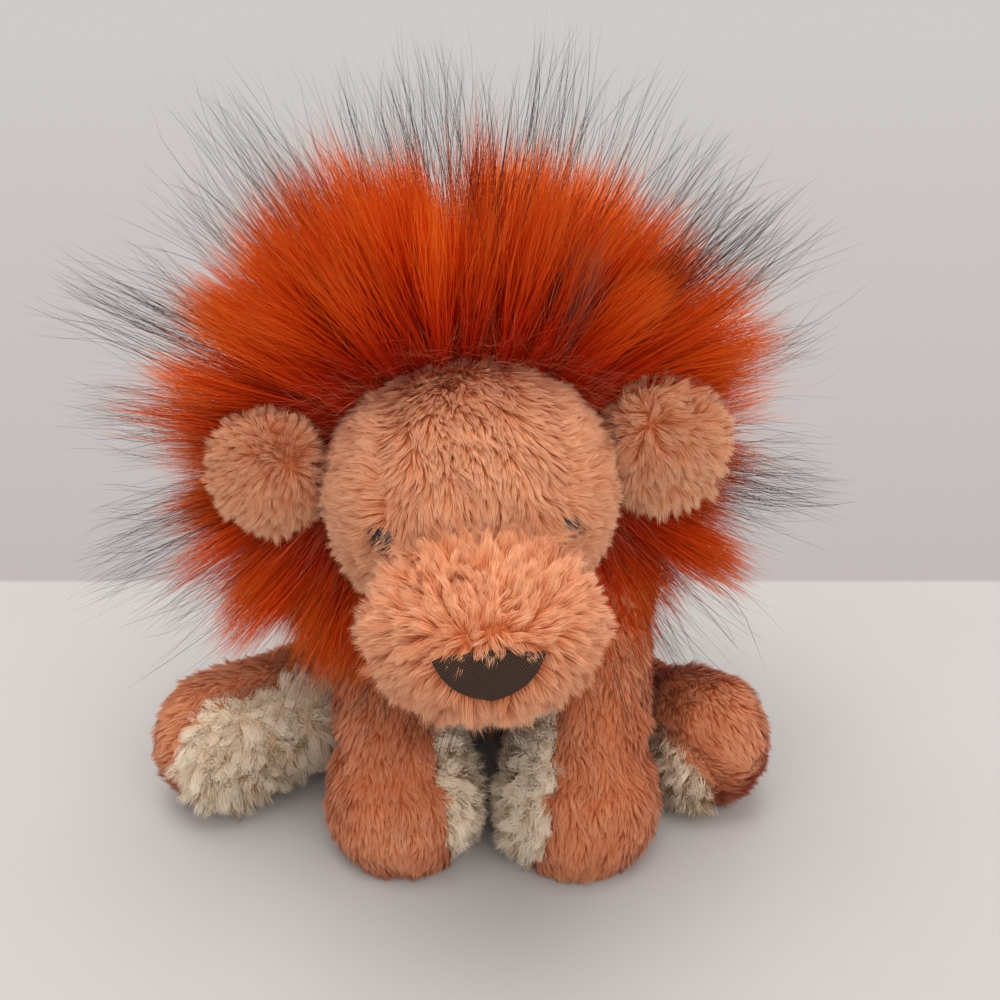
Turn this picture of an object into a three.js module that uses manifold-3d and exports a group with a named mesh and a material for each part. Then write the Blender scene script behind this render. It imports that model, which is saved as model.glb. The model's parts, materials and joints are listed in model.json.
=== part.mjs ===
// Plush lion, sitting up on its rump with its forelegs straight and its hind legs splayed.
// Millimetres, +Z up. The lion faces -Y, so its own left is +X, and the origin is the middle
// of its seat on the floor. Every stuffed part is a sewn shell of panels round its filling.
import * as THREE from 'three';
import { mergeVertices } from 'three/addons/utils/BufferGeometryUtils.js';
import Module from 'manifold-3d';

const wasm = await Module();
wasm.setup();

// Sizes that all the sewn parts share
const fabric = {
  thickness: 3, // knitted backing with its pile pressed flat
  seam_gap: 0.3, // between two panels along their seam
  fill_gap: 0.5, // between a panel and the filling behind it
  hinge_gap: 0.7, // round a ball that turns in its seat
};
const cut_reach = 600; // how far a half space that trims a piece goes on

// Torso, as cross sections from the throat down, and the rump below them
const torso = {
  throat: { forward: 40, height: 96, half_width: 20, half_depth: 17 },
  chest: { forward: 33, height: 76, half_width: 27, half_depth: 23 },
  waist: { forward: 18, height: 56, half_width: 36, half_depth: 29 },
  loin: { forward: 3, height: 32, half_width: 40, half_depth: 30 },
  cap_start_share: 0.2,
  cap_end_share: 0.4,
  rump: { back: 4, floor_dip: 3, half_width: 44, half_length: 36, half_height: 33 },
  belly_share: 0.25, // how far the side seam lies towards the belly, of the waist's half depth
  pouch_height: 17, // top of the pellet pouch in the rump
};

// Neck ball, which the head nods on
const neck = { radius: 19, forward: 5, height: -2, side: -3 };

// Head, in its own frame at the middle of the skull
const head = {
  forward: 26, // skull's middle before the neck ball
  rise: 34, // and above it
  side: -2.5,
  half_width: 43.5,
  half_length: 41,
  half_height: 42,
  yaw_degrees: 4.3,
  roll_degrees: -2.2,
  forehead_half_width: 24, // to the seam at each temple
};
const muzzle = {
  forward: 46.5,
  drop: 19.5,
  half_width: 36,
  half_length: 27,
  half_height: 27.5,
  seam_forward: 35, // skull's middle to the seam round the muzzle
};
const nose = {
  half_width: 15,
  half_height: 7.5,
  corner_rise: 4,
  rise: 3, // above the muzzle's middle
  thickness: 2.4,
  brow_share: 1.3, // how high the top edge bows, of the half height
  cheek_share: 0.75, // how full the lower edges are
};
const eye = {
  side_share: 0.605, // of the head's half width
  rise: 2,
  radius: 4.6,
  dome: 3.4,
  sink: 1.2,
  post_radius: 1.6,
  post_length: 8,
  post_play: 0.3,
  washer_radius: 6.5,
  washer_thickness: 1.4,
  washer_room: 1.4, // behind the panel, which is drawn flatter between its corners
};
const ear = {
  half_width: 19,
  half_thickness: 6.5,
  half_height: 22,
  hinge_radius: 5.2,
  behind: 3, // behind the skull's middle
  rise: 9,
  nest_room: 4, // round the ear in the mane
  nest_depth: 7, // and behind it
};
const mane = {
  reach: 121, // from the fan point to the tips of the front row
  rim_back: 13, // hairline's plane behind the skull's middle
  rim_slope: 0.3, // and how it leans forward towards the crown
  crown_height: 40, // above this the front of the pile stands up more steeply
  crown_slope: 0.12,
  pile_half_width: 82,
  pile_length: 66,
  pile_half_height: 86,
  pile_drop: 52, // the pile ends this far below the skull's middle
  body_room: 9, // kept free above the shoulders and the back for the nod
  locks_back: 15, // the locks fan out from a point this far behind the skull's middle
  lock_half_width: 6.5,
  lock_short: 13, // every second lock ends this much sooner
  lock_sink: 8,
  lock_sag: 4,
  swell_share: 0.25,
  flat_share: 0.75,
  lowest_share: -0.5, // no lock points further down than this
  rows: [
    { locks: 32, lean_degrees: -4, turn_share: 0.25, tip_share: 1 },
    { locks: 26, lean_degrees: 15, turn_share: 0.75, tip_share: 0.95 },
    { locks: 18, lean_degrees: 37, turn_share: 0.25, tip_share: 0.87 },
    { locks: 11, lean_degrees: 58, turn_share: 0.5, tip_share: 0.79 },
    { locks: 4, lean_degrees: 80, turn_share: 0.5, tip_share: 0.745 },
  ],
};

// Forelegs: shoulder ball, then cross sections down to the paw
const foreleg = {
  shoulder_out: 7, // ball's middle outside the chest's side
  shoulder_forward: 42,
  shoulder_height: 76,
  shoulder_radius: 20,
  upper: { inward: 0, forward: 51, height: 62, half_width: 19, half_depth: 19 },
  ankle: { inward: 1, forward: 64, height: 42, half_width: 19, half_depth: 19 },
  instep: { inward: 4, forward: 75, height: 27, half_width: 24, half_depth: 23 },
  paw: { inward: 5, forward: 79, height: 12, half_width: 27, half_depth: 25 },
  sole: { inward: 5, forward: 79, height: -14, half_width: 25, half_depth: 24 },
  cap_start_share: 0.18,
  cap_end_share: 0.3,
  seam_in: { right: 16.5, left: 12.5 }, // seam plane inside the leg's middle at the ankle
  seam_lean_degrees: -9,
  swing_forward_degrees: 30,
};

// Hind legs: hip ball, then cross sections out to the toe, measured along the leg
const hindleg = {
  hip_radius: 22,
  hip_height: 25,
  thigh: { out: 16, height: 27, half_width: 18, half_depth: 23 },
  ankle: { out: 36, height: 26, half_width: 18, half_depth: 23.5 },
  foot: { out: 57, height: 23, half_width: 21, half_depth: 26.5 },
  toe: { out: 78, height: 21, half_width: 20, half_depth: 25 },
  cap_start_share: 0.15,
  cap_end_share: 0.27,
};
const hips = {
  right: {
    sink: 2, forward: 24, splay_degrees: 61, swing_in_degrees: 15, swing_out_degrees: 15,
    reach_share: 1.04, slim_share: 1, seam_in: 7, seam_lean_degrees: 0,
  },
  left: {
    sink: 8, forward: 4, splay_degrees: 38, swing_in_degrees: 0, swing_out_degrees: 30,
    reach_share: 1.07,
    slim_share: 0.78, // this thigh is pressed flatter by the way the toy sits
    seam_in: 13, seam_lean_degrees: 24, // and rolled outwards, so its inner panel faces down
  },
};

// Tail, lying on the floor behind the rump
const tail = {
  ball_radius: 8,
  root_back: 36,
  root_height: 14,
  radius: 6.5,
  bend: { side: 5, back: 20, height: 9 },
  run: { side: 16, back: 36, height: 6.6 },
  end: { side: 34, back: 46, height: 6.6 },
  cap_share: 0.2,
  tuft_length: 34,
  tuft_radius: 11,
  tuft_shares: [[-0.35, 0.6], [0, 0.95], [0.35, 1], [0.75, 0.6], [1, 0.2]],
};

// Facet counts
const facets = {
  outer: {
    sides: 14, rings: 10, ball_sides: 16, ball_rings: 8, head_sides: 20, head_rings: 12,
  },
  core: {
    sides: 10, rings: 7, ball_sides: 12, ball_rings: 6, head_sides: 14, head_rings: 8,
  },
  post_sides: 8, eye_sides: 14, dome_steps: 4, ear_sides: 12, ear_rings: 7, nose_steps: 4,
  pile_sides: 22, pile_rings: 10, lock_sides: 4, lock_steps: 2,
};

// Colours and surfaces
const finishes = {
  plush: { color: 0xe2a07a, roughness: 0.95, metalness: 0 },
  fleece: { color: 0xd3c5b3, roughness: 0.95, metalness: 0 },
  mane_pile: { color: 0xcf4a1c, roughness: 0.9, metalness: 0 },
  backing: { color: 0x8f2410, roughness: 0.95, metalness: 0 },
  filling: { color: 0xf2f0ea, roughness: 1, metalness: 0 },
  pellets: { color: 0xdcdcd2, roughness: 0.6, metalness: 0 },
  nose_cloth: { color: 0x4a403c, roughness: 0.7, metalness: 0 },
  eye_plastic: { color: 0x21130d, roughness: 0.12, metalness: 0 },
  washer_plastic: { color: 0xe8e8e0, roughness: 0.5, metalness: 0 },
};

const axis_x = new THREE.Vector3(1, 0, 0);
const axis_y = new THREE.Vector3(0, 1, 0);
const axis_z = new THREE.Vector3(0, 0, 1);
const middle = new THREE.Vector3(0, 0, 0);
const radians = THREE.MathUtils.degToRad;

// A solid from a closed three.js geometry, moved by a matrix where one is given
function solid(geometry, matrix = new THREE.Matrix4()) {
  const bare = geometry.clone();
  for (const name of Object.keys(bare.attributes)) {
    if (name !== 'position') bare.deleteAttribute(name);
  }
  const merged = mergeVertices(bare);
  merged.applyMatrix4(matrix);
  const index = [];
  for (let i = 0; i < merged.index.count; i += 3) {
    const corners = [0, 1, 2].map((k) => merged.index.getX(i + k));
    if (new Set(corners).size === corners.length) index.push(...corners);
  }
  return new wasm.Manifold(new wasm.Mesh({
    numProp: 3,
    vertProperties: new Float32Array(merged.attributes.position.array),
    triVerts: new Uint32Array(index),
  }));
}

// The named mesh of a finished solid
function piece(name, body, finish) {
  const mesh = body.getMesh();
  const geometry = new THREE.BufferGeometry();
  geometry.setAttribute('position', new THREE.BufferAttribute(mesh.vertProperties, 3));
  geometry.setIndex(new THREE.BufferAttribute(mesh.triVerts, 1));
  geometry.computeVertexNormals();
  const result = new THREE.Mesh(geometry, new THREE.MeshStandardMaterial(finish));
  result.name = name;
  return result;
}

// Everything on the side of a plane that its direction points to
function halfSpace(point, direction) {
  const block = new THREE.BoxGeometry(cut_reach, cut_reach, cut_reach);
  block.translate(0, 0, cut_reach / 2);
  const turn = new THREE.Quaternion().setFromUnitVectors(axis_z, direction.clone().normalize());
  block.applyQuaternion(turn);
  block.translate(point.x, point.y, point.z);
  return solid(block);
}

// A ball or ellipsoid whose poles lie on the axis that it turns about
function ellipsoid(at, half, pole, sides, rings) {
  const round = new THREE.SphereGeometry(1, sides, rings);
  round.applyQuaternion(new THREE.Quaternion().setFromUnitVectors(axis_y, pole));
  round.scale(half.x, half.y, half.z);
  round.translate(at.x, at.y, at.z);
  return round;
}

function ball(at, radius, pole, skin) {
  const half = new THREE.Vector3(radius, radius, radius);
  return ellipsoid(at, half, pole, skin.ball_sides, skin.ball_rings);
}

// Cross sections drawn in by an amount on every side, for a cavity or its filling
function drawnIn(sections, amount) {
  const inner = sections.map((section) => ({
    at: section.at.clone(),
    half_width: section.half_width - amount,
    half_depth: section.half_depth - amount,
  }));
  const last = sections.length - 1;
  const ends = [[0, 1], [last, last - 1]];
  for (const [end, next] of ends) {
    const inward = sections[next].at.clone().sub(sections[end].at).normalize();
    inner[end].at.addScaledVector(inward, amount);
  }
  return inner;
}

// A closed limb through elliptical cross sections, domed at both ends
function loft(sections, across, caps, sides, rings) {
  const path = new THREE.CatmullRomCurve3(sections.map((s) => s.at), false, 'centripetal');
  const spread = sections.map((s) => new THREE.Vector3(s.half_width, s.half_depth, 0));
  const sizes = new THREE.CatmullRomCurve3(spread, false, 'catmullrom');
  const points = [path.getPoint(0)];
  for (let ring = 1; ring < rings; ring += 1) {
    const t = (1 - Math.cos((Math.PI * ring) / rings)) / 2;
    const from_start = Math.min(t / caps.start_share, 1);
    const from_end = Math.min((1 - t) / caps.end_share, 1);
    const dome = Math.sqrt(1 - (1 - from_start) ** 2) * Math.sqrt(1 - (1 - from_end) ** 2);
    const along = path.getTangent(t);
    const deep = new THREE.Vector3().crossVectors(along, across).normalize();
    const wide = new THREE.Vector3().crossVectors(deep, along).normalize();
    const size = sizes.getPoint(t).multiplyScalar(dome);
    for (let side = 0; side < sides; side += 1) {
      const angle = (2 * Math.PI * side) / sides;
      points.push(path.getPoint(t)
        .addScaledVector(wide, size.x * Math.cos(angle))
        .addScaledVector(deep, size.y * Math.sin(angle)));
    }
  }
  points.push(path.getPoint(1));
  const index = [];
  const last = points.length - 1;
  for (let side = 0; side < sides; side += 1) {
    const next = (side + 1) % sides;
    index.push(0, 1 + next, 1 + side);
    index.push(last, last - sides + side, last - sides + next);
    for (let ring = 0; ring < rings - 2; ring += 1) {
      const near = 1 + ring * sides;
      const far = near + sides;
      index.push(near + side, near + next, far + side);
      index.push(near + next, far + next, far + side);
    }
  }
  const geometry = new THREE.BufferGeometry().setFromPoints(points);
  geometry.setIndex(index);
  return geometry;
}

// The three skins of a sewn part: its outside, its cavity and its filling
const skins = [
  { inset: 0, ...facets.outer },
  { inset: fabric.thickness, ...facets.core },
  { inset: fabric.thickness + fabric.fill_gap, ...facets.core },
];
const [outer_skin] = skins;

const aboveFloor = (height) => halfSpace(new THREE.Vector3(0, 0, height), axis_z);
const group = new THREE.Group();
const tail_at = new THREE.Vector3(0, tail.root_back, tail.root_height);

// Places that the parts share
const neck_at = new THREE.Vector3(
  neck.side,
  -(torso.throat.forward + neck.forward),
  torso.throat.height + neck.height,
);
const rump_half = new THREE.Vector3(
  torso.rump.half_width,
  torso.rump.half_length,
  torso.rump.half_height,
);
const rump_height = torso.rump.half_height - torso.rump.floor_dip;
const rump_at = new THREE.Vector3(0, torso.rump.back, rump_height);
const torso_sections = ['throat', 'chest', 'waist', 'loin'].map((name) => ({
  at: new THREE.Vector3(0, -torso[name].forward, torso[name].height),
  half_width: torso[name].half_width,
  half_depth: torso[name].half_depth,
}));

// Foreleg: a ball in the shoulder's seat and a tapering leg that swells into the paw
function foreleg_limb(side, label) {
  const sections = ['upper', 'ankle', 'instep', 'paw', 'sole'].map((name) => ({
    at: new THREE.Vector3(
      -side * foreleg[name].inward,
      foreleg.shoulder_forward - foreleg[name].forward,
      foreleg[name].height - foreleg.shoulder_height,
    ),
    half_width: foreleg[name].half_width,
    half_depth: foreleg[name].half_depth,
  }));
  sections.unshift({
    at: middle.clone(),
    half_width: foreleg.shoulder_radius,
    half_depth: foreleg.shoulder_radius,
  });
  const inner_side = new THREE.Vector3(-side, 0, 0);
  inner_side.applyAxisAngle(axis_y, -side * radians(foreleg.seam_lean_degrees));
  return {
    name: `foreleg_${label}`,
    at: new THREE.Vector3(
      side * (torso.chest.half_width + foreleg.shoulder_out),
      -foreleg.shoulder_forward,
      foreleg.shoulder_height,
    ),
    turn: 0,
    axis: axis_x,
    radius: foreleg.shoulder_radius,
    swings: [0, -foreleg.swing_forward_degrees],
    sections,
    caps: { start_share: foreleg.cap_start_share, end_share: foreleg.cap_end_share },
    seam: {
      at: sections[2].at.clone().addScaledVector(inner_side, foreleg.seam_in[label]),
      direction: inner_side,
    },
  };
}

// Hind leg: a ball in the hip's seat and a leg that lies on the floor with its foot upright
function hindleg_limb(side, label, hip) {
  const inner_side = new THREE.Vector3(-side, 0, 0);
  inner_side.applyAxisAngle(axis_y, -side * radians(hip.seam_lean_degrees));
  const slims = { thigh: hip.slim_share, ankle: hip.slim_share, foot: 1, toe: 1 };
  const sections = Object.entries(slims).map(([name, slim]) => ({
    at: new THREE.Vector3(
      0,
      -hip.reach_share * hindleg[name].out,
      slim * hindleg[name].height - hindleg.hip_height,
    ),
    half_width: slim * hindleg[name].half_width,
    half_depth: slim * hindleg[name].half_depth,
  }));
  sections.unshift({
    at: middle.clone(),
    half_width: hindleg.thigh.half_width,
    half_depth: hindleg.hip_radius,
  });
  return {
    name: `hindleg_${label}`,
    at: new THREE.Vector3(
      side * (torso.rump.half_width - hip.sink),
      -hip.forward,
      hindleg.hip_height,
    ),
    turn: side * radians(hip.splay_degrees),
    axis: axis_z,
    radius: hindleg.hip_radius,
    swings: [-side * hip.swing_in_degrees, side * hip.swing_out_degrees],
    sections,
    caps: { start_share: hindleg.cap_start_share, end_share: hindleg.cap_end_share },
    seam: {
      at: inner_side.clone().multiplyScalar(hip.seam_in),
      direction: inner_side,
    },
  };
}

const limbs = [
  foreleg_limb(-1, 'right'),
  foreleg_limb(1, 'left'),
  hindleg_limb(-1, 'right', hips.right),
  hindleg_limb(1, 'left', hips.left),
];

// The room that a limb sweeps through beside its ball, as a flat fan between its two limits
function sweepRoom(limb, room) {
  const reach = limb.radius + room;
  const far = cut_reach / 2;
  const down = limb.sections[2].at.clone().projectOnPlane(limb.axis).normalize();
  const [low, high] = limb.swings.map((degrees) => (
    down.clone().applyQuaternion(new THREE.Quaternion().setFromAxisAngle(
      limb.axis,
      radians(degrees) + (limb.axis === axis_z ? limb.turn : 0),
    ))
  ));
  const sign = Math.sign(new THREE.Vector3().crossVectors(low, high).dot(limb.axis));
  const low_side = new THREE.Vector3().crossVectors(low, limb.axis).multiplyScalar(sign * reach);
  const high_side = new THREE.Vector3().crossVectors(limb.axis, high).multiplyScalar(sign * reach);
  const corners = [
    middle.clone(),
    low_side.clone(),
    low_side.clone().addScaledVector(low, far),
    high_side.clone().addScaledVector(high, far),
    high_side.clone(),
  ];
  const half_thick = limb.radius + room / 2;
  const ends = [-half_thick, half_thick].map((along) => (
    corners.map((corner) => corner.clone().addScaledVector(limb.axis, along).add(limb.at))
  ));
  return wasm.Manifold.hull(ends.flat().map((point) => point.toArray()));
}

// Torso: a pear with the neck ball on top and a seat for each limb and the tail
function buildTorso() {
  const caps = { start_share: torso.cap_start_share, end_share: torso.cap_end_share };
  const [outside, cavity, filling] = skins.map((skin) => {
    const sections = drawnIn(torso_sections, skin.inset);
    const pear = solid(loft(sections, axis_x, caps, skin.sides, skin.rings));
    const rump = solid(ellipsoid(
      rump_at, rump_half.clone().subScalar(skin.inset), axis_z, skin.head_sides, skin.head_rings,
    ));
    const neck_ball = solid(ball(neck_at, neck.radius - skin.inset, axis_x, skin));
    const room = fabric.hinge_gap + skin.inset;
    let body = pear.add(rump).add(neck_ball).intersect(aboveFloor(skin.inset));
    body = body.subtract(solid(ball(tail_at, tail.ball_radius + room, axis_z, skin)));
    for (const limb of limbs) {
      body = body.subtract(solid(ball(limb.at, limb.radius + room, limb.axis, skin)));
      body = body.subtract(sweepRoom(limb, room));
    }
    return body;
  });
  const shell = outside.subtract(cavity);
  const waist = torso_sections[2];
  const down_back = rump_at.clone().sub(torso_sections[1].at).normalize();
  const belly_side = new THREE.Vector3().crossVectors(down_back, axis_x);
  const seam = waist.at.clone().addScaledVector(belly_side, waist.half_depth * torso.belly_share);
  const [belly, back] = split(shell, seam, belly_side);
  const stuffing = filling.intersect(aboveFloor(torso.pouch_height + fabric.fill_gap));
  const pouch = filling.subtract(aboveFloor(torso.pouch_height));
  group.add(
    piece('torso_back_panel', back, finishes.plush),
    piece('torso_belly_panel', belly, finishes.fleece),
    piece('torso_stuffing', stuffing, finishes.filling),
    piece('rump_pellet_pouch', pouch, finishes.pellets),
  );
}

// The two panels of a shell on either side of a seam plane
function split(shell, at, direction) {
  const back = direction.clone().negate();
  const half_gap = fabric.seam_gap / 2;
  return [
    shell.intersect(halfSpace(at.clone().addScaledVector(direction, half_gap), direction)),
    shell.intersect(halfSpace(at.clone().addScaledVector(back, half_gap), back)),
  ];
}

// The outer plush panel, the inner fleece panel and the filling of each limb
function buildLimb(limb) {
  const place = new THREE.Group();
  place.name = limb.name;
  place.position.copy(limb.at);
  place.rotation.z = limb.turn;
  const [outside, cavity, filling] = skins.map((skin) => {
    const sections = drawnIn(limb.sections, skin.inset);
    return solid(loft(sections, axis_x, limb.caps, skin.sides, skin.rings))
      .add(solid(ball(middle, limb.radius - skin.inset, limb.axis, skin)))
      .intersect(aboveFloor(skin.inset - limb.at.z));
  });
  const [inner, outer] = split(outside.subtract(cavity), limb.seam.at, limb.seam.direction);
  place.add(
    piece(`${limb.name}_outer_panel`, outer, finishes.plush),
    piece(`${limb.name}_inner_panel`, inner, finishes.fleece),
    piece(`${limb.name}_stuffing`, filling, finishes.filling),
  );
  group.add(place);
}

// The head's own frame, turned and tilted a little, with the neck ball seen from it
const head_turn = new THREE.Quaternion().setFromAxisAngle(axis_z, radians(head.yaw_degrees));
head_turn.multiply(new THREE.Quaternion().setFromAxisAngle(axis_y, radians(head.roll_degrees)));
const head_at = neck_at.clone().add(new THREE.Vector3(head.side, -head.forward, head.rise));
const from_head = new THREE.Matrix4().compose(head_at, head_turn, new THREE.Vector3(1, 1, 1));
const to_head = from_head.clone().invert();
const neck_in_head = neck_at.clone().applyMatrix4(to_head);
const nod_axis = axis_x.clone().applyQuaternion(head_turn.clone().invert());
const head_place = new THREE.Group();
head_place.name = 'head';
head_place.position.copy(head_at);
head_place.quaternion.copy(head_turn);

const skull_half = new THREE.Vector3(head.half_width, head.half_length, head.half_height);
const muzzle_at = new THREE.Vector3(0, -muzzle.forward, -muzzle.drop);
const muzzle_half = new THREE.Vector3(
  muzzle.half_width,
  muzzle.half_length,
  muzzle.half_height,
);
const muzzle_way = muzzle_at.clone().normalize();
const back_of_rim = new THREE.Vector3(0, 1, mane.rim_slope).normalize();
const rim_at = new THREE.Vector3(0, mane.rim_back, 0);

function skullShape(amount, skin = outer_skin) {
  const half = skull_half.clone().subScalar(amount);
  return solid(ellipsoid(middle, half, axis_y, skin.head_sides, skin.head_rings));
}

function muzzleShape(amount, skin = outer_skin) {
  const half = muzzle_half.clone().subScalar(amount);
  return solid(ellipsoid(muzzle_at, half, axis_y, skin.head_sides, skin.head_rings));
}

function neckRoom(amount, skin = outer_skin) {
  const radius = neck.radius + fabric.hinge_gap + amount;
  return solid(ball(neck_in_head, radius, nod_axis, skin));
}

// A place on the skull for an eye, with the way out of the head there
function eyePlace(side) {
  const x = side * head.half_width * eye.side_share;
  const share = 1 - (x / head.half_width) ** 2 - (eye.rise / head.half_height) ** 2;
  const at = new THREE.Vector3(x, -head.half_length * Math.sqrt(share), eye.rise);
  const out = at.clone().divide(skull_half).divide(skull_half).normalize();
  const turn = new THREE.Quaternion().setFromUnitVectors(axis_y, out);
  return new THREE.Matrix4().compose(at, turn, new THREE.Vector3(1, 1, 1));
}

// A round plug along Y from one height to another, which an eye's place turns and moves
function plug(radius, low, high, sides, matrix) {
  const round = new THREE.CylinderGeometry(radius, radius, high - low, sides);
  round.translate(0, (low + high) / 2, 0);
  return solid(round, matrix);
}

const washer_depth = fabric.thickness + eye.washer_room
  + eye.washer_radius ** 2 / (2 * (head.half_width - fabric.thickness));

// Safety eye: a dome on a post through the panel, held by a washer behind it
function buildEye(side, label) {
  const dome = [];
  for (let step = 0; step <= facets.dome_steps; step += 1) {
    const angle = (Math.PI / 2) * (step / facets.dome_steps);
    const out = -eye.sink + eye.dome * Math.sin(angle);
    dome.push(new THREE.Vector2(eye.radius * Math.cos(angle), out));
  }
  dome[dome.length - 1].x = 0;
  const profile = [
    new THREE.Vector2(0, -eye.post_length),
    new THREE.Vector2(eye.post_radius, -eye.post_length),
    new THREE.Vector2(eye.post_radius, -eye.sink),
    ...dome,
  ];
  const place = eyePlace(side);
  const body = solid(new THREE.LatheGeometry(profile, facets.eye_sides), place);
  const hole = eye.post_radius + eye.post_play;
  const ring = [
    new THREE.Vector2(hole, -washer_depth - eye.washer_thickness),
    new THREE.Vector2(eye.washer_radius, -washer_depth - eye.washer_thickness),
    new THREE.Vector2(eye.washer_radius, -washer_depth),
    new THREE.Vector2(hole, -washer_depth),
  ];
  ring.push(ring[0].clone());
  const washer = solid(new THREE.LatheGeometry(ring, facets.eye_sides), place);
  head_place.add(
    piece(`eye_${label}`, body, finishes.eye_plastic),
    piece(`eye_washer_${label}`, washer, finishes.washer_plastic),
  );
}

// Head: skull and muzzle as one stuffed shell, sewn from a forehead, sides, throat and muzzle
function buildHead() {
  let [outside, cavity, filling] = skins.map((skin) => (
    skullShape(skin.inset, skin)
      .add(muzzleShape(skin.inset, skin))
      .subtract(neckRoom(skin.inset, skin))
  ));
  for (const side of [-1, 1]) {
    const place = eyePlace(side);
    const socket = eye.radius + fabric.fill_gap;
    const hole = eye.post_radius + eye.post_play;
    const pocket = eye.washer_radius + fabric.fill_gap;
    const deep = -eye.post_length - fabric.fill_gap;
    const floor = -eye.sink - fabric.fill_gap;
    outside = outside
      .subtract(plug(socket, floor, eye.radius, facets.eye_sides, place))
      .subtract(plug(hole, deep, eye.radius, facets.post_sides, place));
    filling = filling.subtract(plug(pocket, deep, eye.radius, facets.eye_sides, place));
  }
  const shell = outside.subtract(cavity);
  const [muzzle_panel, skull_shell] = split(
    shell,
    muzzle_way.clone().multiplyScalar(muzzle.seam_forward),
    muzzle_way,
  );
  const [backing, face] = split(skull_shell, rim_at, back_of_rim);
  const temple = new THREE.Vector3(head.forehead_half_width, 0, 0);
  const [left_side, rest] = split(face, temple, axis_x);
  const [right_side, strip] = split(rest, temple.negate(), axis_x.clone().negate());
  const [forehead, throat] = split(strip, middle, axis_z);
  head_place.add(
    piece('forehead_panel', forehead, finishes.plush),
    piece('face_side_panel_right', right_side, finishes.plush),
    piece('face_side_panel_left', left_side, finishes.plush),
    piece('throat_panel', throat, finishes.plush),
    piece('muzzle_panel', muzzle_panel, finishes.plush),
    piece('head_stuffing', filling, finishes.filling),
    piece('mane_backing', backing, finishes.backing),
  );
}

// Nose: a padded crescent of woven cloth that follows the muzzle's front
function buildNose() {
  const outline = new THREE.Shape();
  outline.moveTo(-nose.half_width, nose.corner_rise);
  outline.quadraticCurveTo(0, nose.half_height * nose.brow_share, nose.half_width, nose.corner_rise);
  outline.quadraticCurveTo(
    nose.half_width * nose.cheek_share, -nose.half_height * nose.cheek_share,
    0, -nose.half_height,
  );
  outline.quadraticCurveTo(
    -nose.half_width * nose.cheek_share, -nose.half_height * nose.cheek_share,
    -nose.half_width, nose.corner_rise,
  );
  const depth = 2 * muzzle.half_length;
  const block = new THREE.ExtrudeGeometry(outline, {
    depth, bevelEnabled: false, curveSegments: facets.nose_steps,
  });
  block.rotateX(Math.PI / 2);
  block.translate(0, muzzle_at.y, muzzle_at.z + nose.rise);
  const body = solid(block)
    .intersect(muzzleShape(-nose.thickness))
    .subtract(muzzleShape(-fabric.fill_gap));
  head_place.add(piece('nose', body, finishes.nose_cloth));
}

// The ear's pad is cut off where it is as thick as its hinge
const ear_share = ear.hinge_radius / ear.half_thickness;
const ear_out = ear.half_width * Math.sqrt(1 - ear_share ** 2);
const ear_hinge_side = head.half_width * Math.sqrt(1 - (ear.rise / head.half_height) ** 2)
  + ear.hinge_radius + fabric.seam_gap;

// Ear: a thick round pad of two panels, on a soft hinge down the side of the head
function buildEar(side, label) {
  const place = new THREE.Group();
  place.name = `ear_${label}`;
  place.position.set(side * ear_hinge_side, ear.behind, ear.rise);
  const half = new THREE.Vector3(ear.half_width, ear.half_thickness, ear.half_height);
  const outward = new THREE.Vector3(side, 0, 0);
  const at = outward.clone().multiplyScalar(ear_out);
  const pad = solid(ellipsoid(at, half, axis_y, facets.ear_sides, facets.ear_rings))
    .intersect(halfSpace(middle, outward));
  const barrel_half = new THREE.Vector3(
    ear.hinge_radius,
    ear.hinge_radius,
    ear.half_height * ear_share,
  );
  const barrel = ellipsoid(middle, barrel_half, axis_z, facets.ear_sides, facets.ear_rings);
  const [front, back] = split(pad.add(solid(barrel)), middle, axis_y.clone().negate());
  place.add(
    piece(`ear_${label}_front_panel`, front, finishes.plush),
    piece(`ear_${label}_back_panel`, back, finishes.plush),
  );
  head_place.add(place);
}

// A pointed, slightly drooping lock of hair, as a bent and swollen cone
function lock(from, direction, length, half_width, sag) {
  const cone = new THREE.ConeGeometry(1, 1, facets.lock_sides, facets.lock_steps);
  cone.translate(0, 1 / 2, 0);
  const turn = new THREE.Quaternion().setFromUnitVectors(axis_y, direction);
  const place = cone.attributes.position;
  const point = new THREE.Vector3();
  for (let i = 0; i < place.count; i += 1) {
    point.fromBufferAttribute(place, i);
    const along = point.y;
    const swell = half_width * (1 + mane.swell_share * Math.sin(Math.PI * along));
    point.set(point.x * swell, along * length, point.z * swell * mane.flat_share);
    point.applyQuaternion(turn).add(from);
    point.z -= sag * along ** 2;
    place.setXYZ(i, point.x, point.y, point.z);
  }
  return solid(cone);
}

// How far a ray from a point inside an ellipsoid goes to its surface
function reachInside(from, direction, half) {
  const start = from.clone().divide(half);
  const step = direction.clone().divide(half);
  const turn = start.dot(step) / step.lengthSq();
  return Math.sqrt(turn ** 2 + (1 - start.lengthSq()) / step.lengthSq()) - turn;
}

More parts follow.
